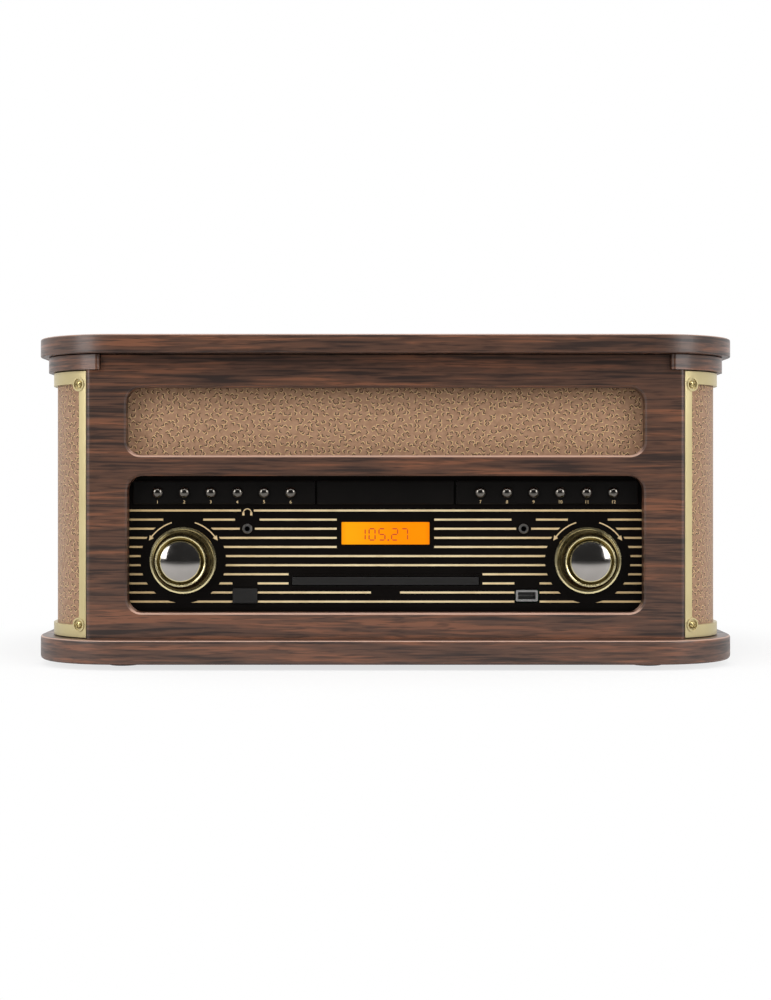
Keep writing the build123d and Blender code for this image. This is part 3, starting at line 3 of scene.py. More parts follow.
import bmesh
import bpy
import numpy as np
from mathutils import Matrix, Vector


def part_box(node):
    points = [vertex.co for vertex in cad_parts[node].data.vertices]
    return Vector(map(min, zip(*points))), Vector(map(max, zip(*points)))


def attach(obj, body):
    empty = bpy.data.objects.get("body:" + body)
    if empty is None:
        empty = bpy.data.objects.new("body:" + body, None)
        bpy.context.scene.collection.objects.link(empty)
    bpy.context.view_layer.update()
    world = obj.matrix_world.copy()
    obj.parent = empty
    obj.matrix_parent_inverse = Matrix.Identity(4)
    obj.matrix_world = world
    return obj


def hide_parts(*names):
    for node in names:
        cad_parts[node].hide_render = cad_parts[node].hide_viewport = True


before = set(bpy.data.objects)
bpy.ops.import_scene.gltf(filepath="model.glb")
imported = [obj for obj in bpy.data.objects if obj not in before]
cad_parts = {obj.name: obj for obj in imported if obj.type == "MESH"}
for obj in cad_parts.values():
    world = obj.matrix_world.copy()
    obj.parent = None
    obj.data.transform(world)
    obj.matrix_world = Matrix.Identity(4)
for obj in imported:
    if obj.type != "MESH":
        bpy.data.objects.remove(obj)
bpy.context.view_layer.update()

# Camera: level, in front of the middle of the cabinet, at a little over half its height. The
# shift puts the horizon where the cabinet's edges meet the eye level of a low table shot.
scene = bpy.context.scene
scene.view_settings.view_transform = "Standard"
EYE_BACK = -1.42765
EYE_HEIGHT = 0.1289
front_view = bpy.data.cameras.new("front_view")
front_view.sensor_width = 36.0
front_view.lens = 64.8
front_view.shift_y = -0.0148
camera = bpy.data.objects.new("front_view", front_view)
camera.location = (0.0, EYE_BACK, EYE_HEIGHT)
camera.rotation_euler = (math.radians(90), 0, 0)
scene.collection.objects.link(camera)
scene.camera = camera


# Studio room: a white sweep that the lens and gloss see as white behind the cabinet, with a dim
# side behind the camera, so that polished and black surfaces keep their depth.
def put(tree, kind, inputs=None, **settings):
    """Add one node: settings are its own properties, inputs are values or sockets by input."""
    node = tree.nodes.new(kind)
    for name, value in settings.items():
        setattr(node, name, value)
    for name, value in (inputs or {}).items():
        if isinstance(value, bpy.types.NodeSocket):
            tree.links.new(value, node.inputs[name])
        else:
            node.inputs[name].default_value = value
    return node


def math_of(tree, operation, first, second=0.0):
    """The result of one sum on two numbers or sockets."""
    return put(tree, "ShaderNodeMath", {0: first, 1: second}, operation=operation).outputs[0]


def product(tree, first, second):
    """Two numbers or sockets multiplied."""
    return math_of(tree, "MULTIPLY", first, second)


def rest_of(tree, share):
    """What a share leaves of 1."""
    return math_of(tree, "SUBTRACT", 1.0, share)


def size_of(tree, value):
    """A number without its sign."""
    return math_of(tree, "ABSOLUTE", value)


def ramp_of(tree, value, low, high, to_low=0.0, to_high=1.0):
    """A value carried from one range to another, smoothly and never past its ends."""
    limits = {"Value": value, 1: low, 2: high, 3: to_low, 4: to_high}
    return put(tree, "ShaderNodeMapRange", limits, interpolation_type="SMOOTHSTEP").outputs[0]


def mix_of(tree, share, first, second):
    """Two colours mixed by a share."""
    node = put(tree, "ShaderNodeMix", {0: share}, data_type="RGBA")
    for socket, value in ((node.inputs[6], first), (node.inputs[7], second)):
        if isinstance(value, bpy.types.NodeSocket):
            tree.links.new(value, socket)
        else:
            socket.default_value = value
    return node.outputs[2]


ROOM_LIGHT = 0.62
ROOM_FAR = 1.0
ROOM_NEAR = 0.05
room = bpy.data.worlds.new("white_room")
scene.world = room
room.use_nodes = True
tree = room.node_tree
tree.nodes.clear()
toward = put(tree, "ShaderNodeSeparateXYZ", {0: put(tree, "ShaderNodeTexCoord").outputs["Generated"]})
gloss_level = ramp_of(tree, toward.outputs["Y"], -0.75, 0.1, ROOM_NEAR, ROOM_FAR)
plain_room = put(tree, "ShaderNodeBackground", {"Color": (1, 1, 1, 1), "Strength": ROOM_LIGHT})
gloss_room = put(tree, "ShaderNodeBackground", {"Color": (1, 1, 1, 1), "Strength": gloss_level})
white_room = put(tree, "ShaderNodeBackground", {"Color": (1, 1, 1, 1), "Strength": 1.0})
ray = put(tree, "ShaderNodeLightPath")
lit = put(tree, "ShaderNodeMixShader", {0: ray.outputs["Is Glossy Ray"]})
tree.links.new(plain_room.outputs[0], lit.inputs[1])
tree.links.new(gloss_room.outputs[0], lit.inputs[2])
straight = math_of(tree, "MAXIMUM", ray.outputs["Is Camera Ray"], ray.outputs["Is Transmission Ray"])
seen = put(tree, "ShaderNodeMixShader", {0: straight})
tree.links.new(lit.outputs[0], seen.inputs[1])
tree.links.new(white_room.outputs[0], seen.inputs[2])
put(tree, "ShaderNodeOutputWorld", {"Surface": seen.outputs[0]})


def softbox(name, place, aim, width, height, watts):
    """A rectangular lamp at a place, turned to face the aim."""
    lamp = bpy.data.lights.new(name, "AREA")
    lamp.shape = "RECTANGLE"
    lamp.size = width
    lamp.size_y = height
    lamp.energy = watts
    holder = bpy.data.objects.new(name, lamp)
    back = np.array(place, float) - np.array(aim, float)
    flat = math.hypot(back[0], back[1])
    holder.location = place
    holder.rotation_euler = (math.atan2(flat, back[2]), 0, math.atan2(back[1], back[0]) + math.pi / 2)
    scene.collection.objects.link(holder)


softbox("left_softbox", (-1.15, -0.95, 0.62), (0, -0.1, 0.12), 0.55, 0.9, 9.0)
softbox("right_softbox", (1.15, -0.95, 0.62), (0, -0.1, 0.12), 0.55, 0.9, 9.0)
softbox("top_softbox", (0.0, -0.75, 1.25), (0, -0.1, 0.12), 1.2, 0.6, 9.0)


# Table: a wide white sheet that takes the cabinet's soft shadow and fades to plain white round it;
# its near side is dark, so that low glossy faces reflect some depth
def plain_material(name, values=None):
    """A material with one Principled shader, whose sockets that stay the same all over are set here."""
    material = bpy.data.materials.new(name)
    material.use_nodes = True
    shader = material.node_tree.nodes["Principled BSDF"]
    for socket, value in (values or {}).items():
        shader.inputs[socket].default_value = value
    return material, material.node_tree, shader


def screen(red, green, blue):
    """A colour written as screen values from 0 to 255, as the linear values that shaders read."""
    shown = np.array((red, green, blue)) / 255.0
    linear = np.where(shown <= 0.04045, shown / 12.92, ((shown + 0.055) / 1.055) ** 2.4)
    return (*linear.tolist(), 1.0)


def object_at(tree):
    """Places on the piece, in metres."""
    return put(tree, "ShaderNodeTexCoord").outputs["Object"]


def split(tree, vector):
    """The three numbers of a vector, by name."""
    return put(tree, "ShaderNodeSeparateXYZ", {0: vector}).outputs


def tint(tree, shader, share, first, second):
    """Give the shader a colour mixed of two by a share."""
    tree.links.new(mix_of(tree, share, first, second), shader.inputs["Base Color"])


def surface(name, grid, materials, loop=False, outward=None, sharp=35.0, zone=None):
    """A mesh over a grid of points, rows by columns, one face to a cell. loop joins the last column to the
    first. Doubled points at poles are merged and faces are turned outwards, or along outward when open."""
    rows, columns = grid.shape[:2]
    index = np.arange(rows * columns).reshape(rows, columns)
    right = np.roll(index, -1, axis=1)
    width = columns if loop else columns - 1
    cells = np.stack([index[:-1, :width], right[:-1, :width], right[1:, :width], index[1:, :width]], axis=-1)
    mesh = bpy.data.meshes.new(name)
    mesh.from_pydata(grid.reshape(-1, 3).tolist(), [], cells.reshape(-1, 4).tolist())
    if zone is not None:
        mesh.polygons.foreach_set("material_index", np.repeat(np.asarray(zone, np.int32), width))
    form = bmesh.new()
    form.from_mesh(mesh)
    bmesh.ops.remove_doubles(form, verts=form.verts, dist=1e-7)
    if outward is None:
        bmesh.ops.recalc_face_normals(form, faces=form.faces)
    form.to_mesh(mesh)
    form.free()
    if outward is not None:
        normals = np.empty(3 * len(mesh.polygons))
        mesh.polygons.foreach_get("normal", normals)
        if (normals.reshape(-1, 3) @ np.array(outward, float)).sum() < 0:
            mesh.flip_normals()
    mesh.polygons.foreach_set("use_smooth", np.ones(len(mesh.polygons), bool))
    mesh.set_sharp_from_angle(angle=math.radians(sharp))
    for material in materials:
        mesh.materials.append(material)
    piece = bpy.data.objects.new(name, mesh)
    scene.collection.objects.link(piece)
    return piece


TABLE_HALF = 4.0
TABLE_GLOW = 0.72
SHADOW_REACH = 0.42
table_white, tree, shader = plain_material("white_table", {"Roughness": 0.9})
table_at = object_at(tree)
fall_off = ramp_of(tree, split(tree, table_at)["Y"], -0.85, -0.3)
tint(tree, shader, fall_off, (0.07, 0.07, 0.07, 1), (0.8, 0.8, 0.8, 1))
glow = put(tree, "ShaderNodeEmission", {"Color": (1, 1, 1, 1), "Strength": 1.0})
reach = put(tree, "ShaderNodeVectorMath", {0: table_at}, operation="LENGTH").outputs["Value"]
white_share = ramp_of(tree, reach, SHADOW_REACH * 0.5, SHADOW_REACH, TABLE_GLOW, 1.0)
share = product(tree, put(tree, "ShaderNodeLightPath").outputs["Is Camera Ray"], white_share)
both = put(tree, "ShaderNodeMixShader", {0: share, 1: shader.outputs[0], 2: glow.outputs[0]})
tree.links.new(both.outputs[0], tree.nodes["Material Output"].inputs["Surface"])
edge = np.array([-TABLE_HALF, TABLE_HALF])
across, along = np.meshgrid(edge, edge)
table = surface("table", np.stack([across, along, 0 * across], axis=-1), [table_white], outward=(0, 0, 1))


# Rubber feet: four discs of matt black rubber, moulded and screwed under the base board; the lid's
# buffers are of the same rubber
def noise_at(tree, vector, scale, detail=2.0):
    """Cloudy noise with so many cells to a metre."""
    values = {"Vector": vector, "Scale": scale, "Detail": detail}
    return put(tree, "ShaderNodeTexNoise", values).outputs["Fac"]


rubber, tree, shader = plain_material("foot_rubber", {"Roughness": 0.78, "Specular IOR Level": 0.3})
place = object_at(tree)
speck = noise_at(tree, place, 900.0)
tint(tree, shader, speck, screen(22, 22, 22), screen(38, 37, 36))


def dress(node, material):
    """Give every face of a CAD node one material."""
    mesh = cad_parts[node].data
    mesh.materials.clear()
    mesh.materials.append(material)


dress("rubber_feet", rubber)
dress("lid_buffers", rubber)


# Walnut: fibreboard wrapped in a printed walnut foil with a semi-gloss skin. The grain lies along
# the boards and follows them round the corners; one group draws it for every wrapped board, and paints a
# highlight on faces that slope upwards.
def effect(name, inputs, outputs):
    """An empty node group with named inputs, each a kind and a value, and named outputs."""
    group = bpy.data.node_groups.new(name, "ShaderNodeTree")
    for label, (kind, value) in inputs.items():
        group.interface.new_socket(label, in_out="INPUT", socket_type=kind).default_value = value
    for label, kind in outputs.items():
        group.interface.new_socket(label, in_out="OUTPUT", socket_type=kind)
    return group, group.nodes.new("NodeGroupInput").outputs, group.nodes.new("NodeGroupOutput")


def streaks(tree, along, across, layer, stretch, fineness, detail, bend=0.0):
    """Noise drawn out along the grain: long cells along it, fine ones across."""
    spot = put(tree, "ShaderNodeCombineXYZ", {
        0: product(tree, along, stretch),
        1: product(tree, across, fineness),
        2: layer,
    })
    values = {"Vector": spot.outputs[0], "Scale": 1.0, "Detail": detail, "Distortion": bend}
    return put(tree, "ShaderNodeTexNoise", values).outputs["Fac"]


COLOUR, NUMBER = "NodeSocketColor", "NodeSocketFloat"
BOARD_FRONT = 0.178
walnut_grain, given, drawn = effect("walnut_grain", {
    "Dark": (COLOUR, screen(42, 28, 22)),
    "Middle": (COLOUR, screen(80, 54, 41)),
    "Light": (COLOUR, screen(114, 73, 52)),
    "Shift": (NUMBER, 0.0),
}, {"Color": COLOUR, "Height": NUMBER, "Gloss": NUMBER})
tree = walnut_grain
where = put(tree, "ShaderNodeTexCoord")
point = split(tree, where.outputs["Object"])
facing = split(tree, where.outputs["Normal"])
level = math_of(tree, "GREATER_THAN", size_of(tree, facing["Z"]), 0.7)
upright = rest_of(tree, level)
side = put(tree, "ShaderNodeClamp", {0: product(tree, point["X"], 20.0), 1: -1.0, 2: 1.0}).outputs[0]
wrap = product(tree, side, math_of(tree, "ADD", point["Y"], BOARD_FRONT))
along = math_of(tree, "ADD", point["X"], product(tree, wrap, upright))
across = math_of(tree, "ADD", product(tree, point["Z"], upright),
                 product(tree, point["Y"], level))
across = math_of(tree, "ADD", across, given["Shift"])
figure = streaks(tree, along, across, 3.7, 4.5, 95.0, 5.0, 0.9)
fibre = streaks(tree, along, across, 8.1, 20.0, 480.0, 5.0, 0.4)
pores = streaks(tree, along, across, 1.9, 48.0, 780.0, 2.0)
tone = math_of(tree, "ADD", product(tree, figure, 0.5), product(tree, fibre, 0.5))
ground = mix_of(tree, ramp_of(tree, tone, 0.40, 0.50), given["Dark"], given["Middle"])
ground = mix_of(tree, ramp_of(tree, tone, 0.50, 0.62), ground, given["Light"])
pore = ramp_of(tree, pores, 0.52, 0.66)
shaded = mix_of(tree, product(tree, pore, 0.6), ground, given["Dark"])
# Faces that slope upwards, such as the chamfers and eased edges, are painted lighter: a painted highlight
slant_low = ramp_of(tree, facing["Z"], 0.35, 0.6)
slant_high = rest_of(tree, ramp_of(tree, facing["Z"], 0.8, 0.97))
painted_edge_highlight_share = product(tree, product(tree, slant_low, slant_high), 0.55)
shaded = mix_of(tree, painted_edge_highlight_share, shaded, screen(206, 168, 148))
tree.links.new(shaded, drawn.inputs["Color"])
relief = math_of(tree, "SUBTRACT", product(tree, fibre, 0.5), product(tree, pore, 0.5))
tree.links.new(relief, drawn.inputs["Height"])
tree.links.new(ramp_of(tree, tone, 0.3, 0.7, 0.46, 0.34), drawn.inputs["Gloss"])


def bump_by(tree, shader, height, strength, distance):
    """Rises and dents drawn on the shader's normal; a height of 1 stands for the distance in metres."""
    bump = put(tree, "ShaderNodeBump", {"Strength": strength, "Distance": distance, "Height": height})
    tree.links.new(bump.outputs[0], shader.inputs["Normal"])


def walnut(name, shift):
    """Walnut foil whose grain is moved across by shift, so that no two boards match."""
    material, tree, shader = plain_material(name, {"Specular IOR Level": 0.45, "Coat Weight": 0.2,
                                                   "Coat Roughness": 0.22})
    grain = put(tree, "ShaderNodeGroup", {}, node_tree=walnut_grain)
    grain.inputs["Shift"].default_value = shift
    tree.links.new(grain.outputs["Color"], shader.inputs["Base Color"])
    tree.links.new(grain.outputs["Gloss"], shader.inputs["Roughness"])
    bump_by(tree, shader, grain.outputs["Height"], 0.12, 0.0004)
    return material


dress("base_board", walnut("base_walnut", 0.0))

# Front panel with two routed windows, the two side panels and the lapped top rails: foil-wrapped
# boards glued and screwed to the inner frame
dress("front_panel", walnut("panel_walnut", 0.41))
dress("side_panels", walnut("side_walnut", 0.83))
dress("top_rails", walnut("rail_walnut", 1.27))

# Inner frame: raw chipboard lining, posts, cleats and battens, glued together, that the boards and
# the deck are screwed to
chipboard, tree, shader = plain_material("raw_chipboard", {"Roughness": 0.85, "Specular IOR Level": 0.2})
place = object_at(tree)
chips = put(tree, "ShaderNodeTexVoronoi", {"Vector": place, "Scale": 420.0})
chip_speck_and_stroke_shadow = put(tree, "ShaderNodeSeparateColor", {0: chips.outputs["Color"]}).outputs[0]
tint(tree, shader, chip_speck_and_stroke_shadow, screen(150, 118, 78), screen(196, 166, 122))
bump_by(tree, shader, chips.outputs["Distance"], 0.3, 0.0003)
dress("inner_frame", chipboard)


# Loudspeakers: pressed steel baskets with coated paper cones, screwed to the lining boards and
# firing sideways through the grille cloth
def distance_of(tree, first, second):
    """The straight distance that two gaps at right angles make."""
    squares = math_of(tree, "ADD", product(tree, first, first), product(tree, second, second))
    return math_of(tree, "SQRT", squares)


SPEAKER_PAPER = screen(34, 33, 33)
SPEAKER_STEEL = screen(96, 97, 99)
RIM_W, RIM_SOFT = 0.0050, 0.0005
speaker_low, speaker_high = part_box("speakers")
speaker_y = (speaker_low.y + speaker_high.y) / 2
speaker_z = (speaker_low.z + speaker_high.z) / 2
speaker_r = (speaker_high.z - speaker_low.z) / 2
basket, tree, shader = plain_material("speaker_basket", {"Roughness": 0.55})
place = object_at(tree)
spot = split(tree, place)
lift = math_of(tree, "SUBTRACT", spot["Y"], speaker_y)
rise = math_of(tree, "SUBTRACT", spot["Z"], speaker_z)
out = distance_of(tree, lift, rise)
cone = rest_of(tree, ramp_of(tree, out, speaker_r - RIM_W - RIM_SOFT, speaker_r - RIM_W + RIM_SOFT))
tint(tree, shader, cone, SPEAKER_STEEL, SPEAKER_PAPER)
tree.links.new(product(tree, rest_of(tree, cone), 0.7), shader.inputs["Metallic"])
fibres = noise_at(tree, place, 700.0, 3.0)
bump_by(tree, shader, fibres, 0.2, 0.0003)
dress("speakers", basket)

# Grille cloth: a tan brocade with a slub weave, glued over a thin curved backing and held behind
# each brass frame. Each is one piece of cloth, bent round the cabinet's front corner.
cloth_weave, given, drawn = effect("brocade_weave", {
    "Ground": (COLOUR, screen(162, 127, 100)),
    "Thread": (COLOUR, screen(206, 172, 124)),
    "Shade": (COLOUR, screen(50, 31, 21)),
}, {"Color": COLOUR, "Height": NUMBER})
tree = cloth_weave
THREAD = 0.00075
cloth_uv = put(tree, "ShaderNodeTexCoord").outputs["UV"]
cloth_at = split(tree, cloth_uv)
warp = math_of(tree, "SINE", product(tree, cloth_at["X"], 2 * math.pi / THREAD))
weft = math_of(tree, "SINE", product(tree, cloth_at["Y"], 2 * math.pi / THREAD))
weave = product(tree, warp, weft)
# Each cell of the figure holds one short bent stroke, turned its own way, with a painted shadow along the
# edge below it
MOTIF_PITCH = 0.0038
cells = put(tree, "ShaderNodeVectorMath", {0: cloth_uv, 3: 1 / MOTIF_PITCH}, operation="SCALE").outputs[0]
motif = put(tree, "ShaderNodeTexVoronoi", {"Vector": cells, "Scale": 1.0, "Randomness": 0.8},
            voronoi_dimensions="2D")
offset = put(tree, "ShaderNodeVectorMath", {0: cells, 1: motif.outputs["Position"]}, operation="SUBTRACT")
offset = split(tree, offset.outputs[0])
lot = put(tree, "ShaderNodeSeparateColor", {0: motif.outputs["Color"]}).outputs[0]
bearing = product(tree, lot, 4 * math.pi)
cosine, sine = math_of(tree, "COSINE", bearing), math_of(tree, "SINE", bearing)
length_along = math_of(tree, "ADD", product(tree, offset["X"], cosine),
                       product(tree, offset["Y"], sine))
width_across = math_of(tree, "SUBTRACT", product(tree, offset["Y"], cosine),
                       product(tree, offset["X"], sine))
bow = product(tree, size_of(tree, length_along), 0.9)
width_across = math_of(tree, "SUBTRACT", math_of(tree, "ADD", width_across, bow), 0.14)
ended = rest_of(tree, ramp_of(tree, size_of(tree, length_along), 0.28, 0.38))
light_band = rest_of(tree, ramp_of(tree, size_of(tree, width_across), 0.09, 0.16))
# The band beside each stroke is painted dark with the Shade colour: a painted shadow of the raised stroke
edge_gap = size_of(tree, math_of(tree, "ADD", width_across, 0.17))
stroke_shadow_band = rest_of(tree, ramp_of(tree, edge_gap, 0.08, 0.16))
stroke = product(tree, light_band, ended)
chip_speck_and_stroke_shadow = product(tree, stroke_shadow_band, ended)
mottle = noise_at(tree, cloth_uv, 260.0, 3.0)
ground = mix_of(tree, ramp_of(tree, mottle, 0.35, 0.7, 0.0, 0.45), given["Ground"], screen(128, 92, 66))
# The dips of the weave are painted darker towards the Shade colour: painted shade between the threads
ground = mix_of(tree, ramp_of(tree, weave, -1.0, 1.0, 0.22, 0.0), ground, given["Shade"])
ground = mix_of(tree, product(tree, stroke, 0.85), ground, given["Thread"])
ground = mix_of(tree, product(tree, chip_speck_and_stroke_shadow, 0.9), ground, given["Shade"])
tree.links.new(ground, drawn.inputs["Color"])
height = math_of(tree, "ADD", product(tree, weave, 0.25), stroke)
tree.links.new(height, drawn.inputs["Height"])

brocade, tree, shader = plain_material("tan_brocade", {
    "Roughness": 0.82, "Specular IOR Level": 0.25, "Sheen Weight": 0.25, "Sheen Roughness": 0.5,
})
cloth = put(tree, "ShaderNodeGroup", {}, node_tree=cloth_weave)
tree.links.new(cloth.outputs["Color"], shader.inputs["Base Color"])
bump_by(tree, shader, cloth.outputs["Height"], 0.5, 0.0003)


def cloth_sheet(name, grid, flat, outward):
    """A cloth over a grid of points, with a UV map in metres of cloth from one corner."""
    piece = surface(name, grid, [brocade], outward=outward, sharp=180.0)
    mesh = piece.data
    rows, columns = grid.shape[:2]
    wide, high = np.meshgrid(np.linspace(0, flat[0], columns), np.linspace(0, flat[1], rows))
    spread = np.stack([wide, high], axis=-1).reshape(-1, 2)
    loops = np.empty(len(mesh.loops), np.int32)
    mesh.loops.foreach_get("vertex_index", loops)
    layer = mesh.uv_layers.new(name="cloth")
    layer.data.foreach_set("uv", spread[loops].ravel())
    return piece


CORNER_X, CORNER_Y = 0.1875, -0.11615
CLOTH_R = 0.0504
CLOTH_START = math.asin((0.2120 - CORNER_X) / CLOTH_R)
cloth_low, cloth_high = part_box("grille_cloths")
cloth_back = cloth_high.y
cloth_height = cloth_high.z - cloth_low.z
bent = CLOTH_R * (math.pi / 2 - CLOTH_START)
cloth_width = bent + cloth_back - CORNER_Y
for hand, name in ((-1, "left_grille_cloth"), (1, "right_grille_cloth")):
    # Across the cloth the distance runs round the corner's arc and then straight back along the side
    run = np.linspace(0, cloth_width, 81)
    angle = CLOTH_START + np.minimum(run, bent) / CLOTH_R
    past = np.maximum(run - bent, 0)
    x = CORNER_X + CLOTH_R * np.sin(angle)
    y = CORNER_Y - CLOTH_R * np.cos(angle) + past
    up = np.linspace(cloth_low.z, cloth_high.z, 41)
    grid = np.stack([np.tile(hand * x, (41, 1)), np.tile(y, (41, 1)), np.tile(up, (81, 1)).T], axis=-1)
    piece = cloth_sheet(name, grid, (cloth_width, cloth_height), (hand, -0.4, 0))
    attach(piece, "cabinet")
    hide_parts("grille_cloths")

# Grille frames: mouldings bent round the corners, painted a satin champagne brass, each held by
# four pan-head screws that sit in dished bosses
brass_paint, tree, shader = plain_material("champagne_brass", {
    "Metallic": 0.7, "Specular IOR Level": 0.5, "Coat Weight": 0.15, "Coat Roughness": 0.2,
})
place = object_at(tree)
flow = noise_at(tree, place, 28.0, 3.0)
grit = noise_at(tree, place, 1800.0, 1.0)
tint(tree, shader, flow, screen(184, 168, 122), screen(202, 188, 144))
tree.links.new(ramp_of(tree, flow, 0.3, 0.7, 0.34, 0.42), shader.inputs["Roughness"])
bump_by(tree, shader, grit, 0.08, 0.0002)
dress("grille_frames", brass_paint)

screw_brass, tree, shader = plain_material("brassed_screw", {"Metallic": 1.0, "Roughness": 0.3})
place = object_at(tree)
worn = noise_at(tree, place, 600.0)
tint(tree, shader, worn, screen(176, 156, 102), screen(220, 204, 150))

SCREW_R = 0.0026
SCREW_RISE = 0.0014
DISH_FLOOR = 0.0006
CROSS_HALF = 0.00042
CROSS_REACH = 0.0016
CROSS_DEPTH = 0.0008


def pan_screw(name, seat, direction):
    """A pan head: height over the seat falls off as the fourth power of the radius, less a cross-shaped
    recess whose arms are within CROSS_HALF of either axis and no longer than CROSS_REACH."""
    away = np.array(direction, float) / np.linalg.norm(direction)
    flat = np.cross((0, 0, 1.0), away)
    radius = np.linspace(0, SCREW_R, 29)[:, None]
    turn = np.linspace(0, 2 * np.pi, 96, endpoint=False)[None, :]
    crown = SCREW_RISE * (1 - 0.75 * (radius / SCREW_R) ** 4) + 0 * turn
    left, up = radius * np.cos(turn), radius * np.sin(turn)
    in_arm = (np.minimum(np.abs(left), np.abs(up)) < CROSS_HALF) & (radius < CROSS_REACH)
    crown = crown - CROSS_DEPTH * in_arm
    crown = np.vstack([crown, np.full((1, 96), -DISH_FLOOR), np.full((1, 96), -DISH_FLOOR)])
    left = np.vstack([left, left[-1:], 0 * left[-1:]])
    up = np.vstack([up, up[-1:], 0 * up[-1:]])
    grid = np.array(seat, float) + left[..., None] * flat + up[..., None] * np.array((0, 0, 1.0))
    grid = grid + crown[..., None] * away
    piece = surface(name, grid, [screw_brass], loop=True)
    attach(piece, "cabinet")


FRAME_R = 0.0531
BOSS_X = 0.2160
boss_turn = math.asin((BOSS_X - CORNER_X) / FRAME_R)
boss_y = CORNER_Y - FRAME_R * math.cos(boss_turn)
SIDE_BOSS = (0.2406, -0.03685)
for level_name, boss_z in (("low", 0.03065), ("high", 0.19995)):
    for hand, hand_name in ((-1, "left"), (1, "right")):
        out = (hand * math.sin(boss_turn), -math.cos(boss_turn), 0)
        pan_screw(f"{hand_name}_front_{level_name}_screw", (hand * BOSS_X, boss_y, boss_z), out)
        side_seat = (hand * SIDE_BOSS[0], SIDE_BOSS[1], boss_z)
        pan_screw(f"{hand_name}_side_{level_name}_screw", side_seat, (hand, 0, 0))

# Panel cloth: the same brocade, stretched over a thin board that is stapled behind the upper window
# of the front panel
panel_low, panel_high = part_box("panel_cloth")
CLOTH_TURN = 0.0012
across = np.linspace(panel_low.x + CLOTH_TURN, panel_high.x - CLOTH_TURN, 121)
up = np.linspace(panel_low.z + CLOTH_TURN, panel_high.z - CLOTH_TURN, 31)
wide, high = np.meshgrid(across, up)
grid = np.stack([wide, np.full_like(wide, panel_low.y + 0.0002), high], axis=-1)
panel_flat = (across[-1] - across[0], up[-1] - up[0])
panel_sheet = cloth_sheet("panel_cloth_sheet", grid, panel_flat, (0, -1, 0))
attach(panel_sheet, "cabinet")
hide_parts("panel_cloth")

# Facia: a black moulded plate behind the lower window, screwed to the panel's back, with gilt foil
# stripes on its raised bars
facia_black, tree, shader = plain_material("facia_black", {"Specular IOR Level": 0.06})
place = object_at(tree)
haze = noise_at(tree, place, 35.0, 3.0)
grit = noise_at(tree, place, 1500.0, 1.0)
tint(tree, shader, haze, screen(8, 6, 5), screen(13, 10, 8))
tree.links.new(ramp_of(tree, haze, 0.3, 0.7, 0.36, 0.46), shader.inputs["Roughness"])
bump_by(tree, shader, grit, 0.05, 0.0001)
dress("facia", facia_black)

stripe_gilt, tree, shader = plain_material("stripe_gilt", {
    "Metallic": 0.25, "Roughness": 0.38, "Specular IOR Level": 0.5,
})
place = object_at(tree)
spot = split(tree, place)
# The stripes are painted lighter towards the middle of the facia: a painted highlight
middle = rest_of(tree, ramp_of(tree, size_of(tree, spot["X"]), 0.03, 0.17))
rubbed = noise_at(tree, place, 90.0)
gilt = mix_of(tree, middle, screen(206, 178, 130), screen(228, 208, 166))
gilt = mix_of(tree, ramp_of(tree, rubbed, 0.4, 0.7, 0.0, 0.25), gilt, screen(170, 138, 92))
tree.links.new(gilt, shader.inputs["Base Color"])
dress("facia_stripes", stripe_gilt)

# Button bar: three satin black plates, moulded and glued to the facia; the middle one is plain and
# the outer two carry six buttons each
bar_black, tree, shader = plain_material("bar_black", {"Roughness": 0.3, "Specular IOR Level": 0.16})
place = object_at(tree)
haze = noise_at(tree, place, 60.0)
tint(tree, shader, haze, screen(11, 10, 9), screen(17, 15, 14))
dress("button_bar", bar_black)


# Twelve push buttons: domed caps, moulded and vacuum-plated in dark chrome, each held from falling
# out by a flange behind the bar
def plated(name, dark, light, roughness):
    """Mirror plating whose tone drifts a little over the piece."""
    material, tree, shader = plain_material(name, {"Metallic": 1.0})
    place = object_at(tree)
    drift = noise_at(tree, place, 120.0)
    tint(tree, shader, drift, dark, light)
    tree.links.new(ramp_of(tree, drift, 0.3, 0.7, roughness, roughness * 1.5), shader.inputs["Roughness"])
    return material


def lathe(name, profile, middle, materials, zone=None, steps=96, sharp=35.0):
    """A turned piece about an axis along Y: each profile point is a radius and a depth along the axis, and
    the point is carried round the axis through middle, its x and z."""
    radius, depth = np.array(profile, float).T
    turn = np.linspace(0, 2 * np.pi, steps, endpoint=False)
    x = middle[0] + radius[:, None] * np.cos(turn)
    z = middle[1] + radius[:, None] * np.sin(turn)
    grid = np.stack([x, np.broadcast_to(depth[:, None], x.shape), z], axis=-1)
    return surface(name, grid, materials, loop=True, zone=zone, sharp=sharp)


def dome_points(radius, edge, top, count=13):
    """Points of a round cap from its edge to its top: an arc whose middle is on the axis. Depths run
    towards the front, so the top has the lower value."""
    rise = abs(edge - top)
    ball = (radius * radius + rise * rise) / (2 * rise)
    reach = np.linspace(radius, 0, count)
    height = np.sqrt(ball * ball - reach * reach) - (ball - rise)
    return [(r, edge - h) for r, h in zip(reach, height)]


button_chrome = plated("button_chrome", screen(88, 84, 80), screen(112, 108, 102), 0.13)
BUTTON_R = 0.0036
BUTTON_DOME = 0.0017
FLANGE_T = 0.0012
for count in range(1, 13):
    name = f"button_{count}"
    low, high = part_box(name)
    middle = ((low.x + high.x) / 2, (low.z + high.z) / 2)
    flange_r = (high.x - low.x) / 2
    profile = [(0, high.y), (flange_r, high.y), (flange_r, high.y - FLANGE_T), (BUTTON_R, high.y - FLANGE_T)]
    profile += dome_points(BUTTON_R, low.y + BUTTON_DOME, low.y)
    cap = lathe(f"{name}_cap", profile, middle, [button_chrome], steps=48)
    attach(cap, name)
    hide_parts(name)

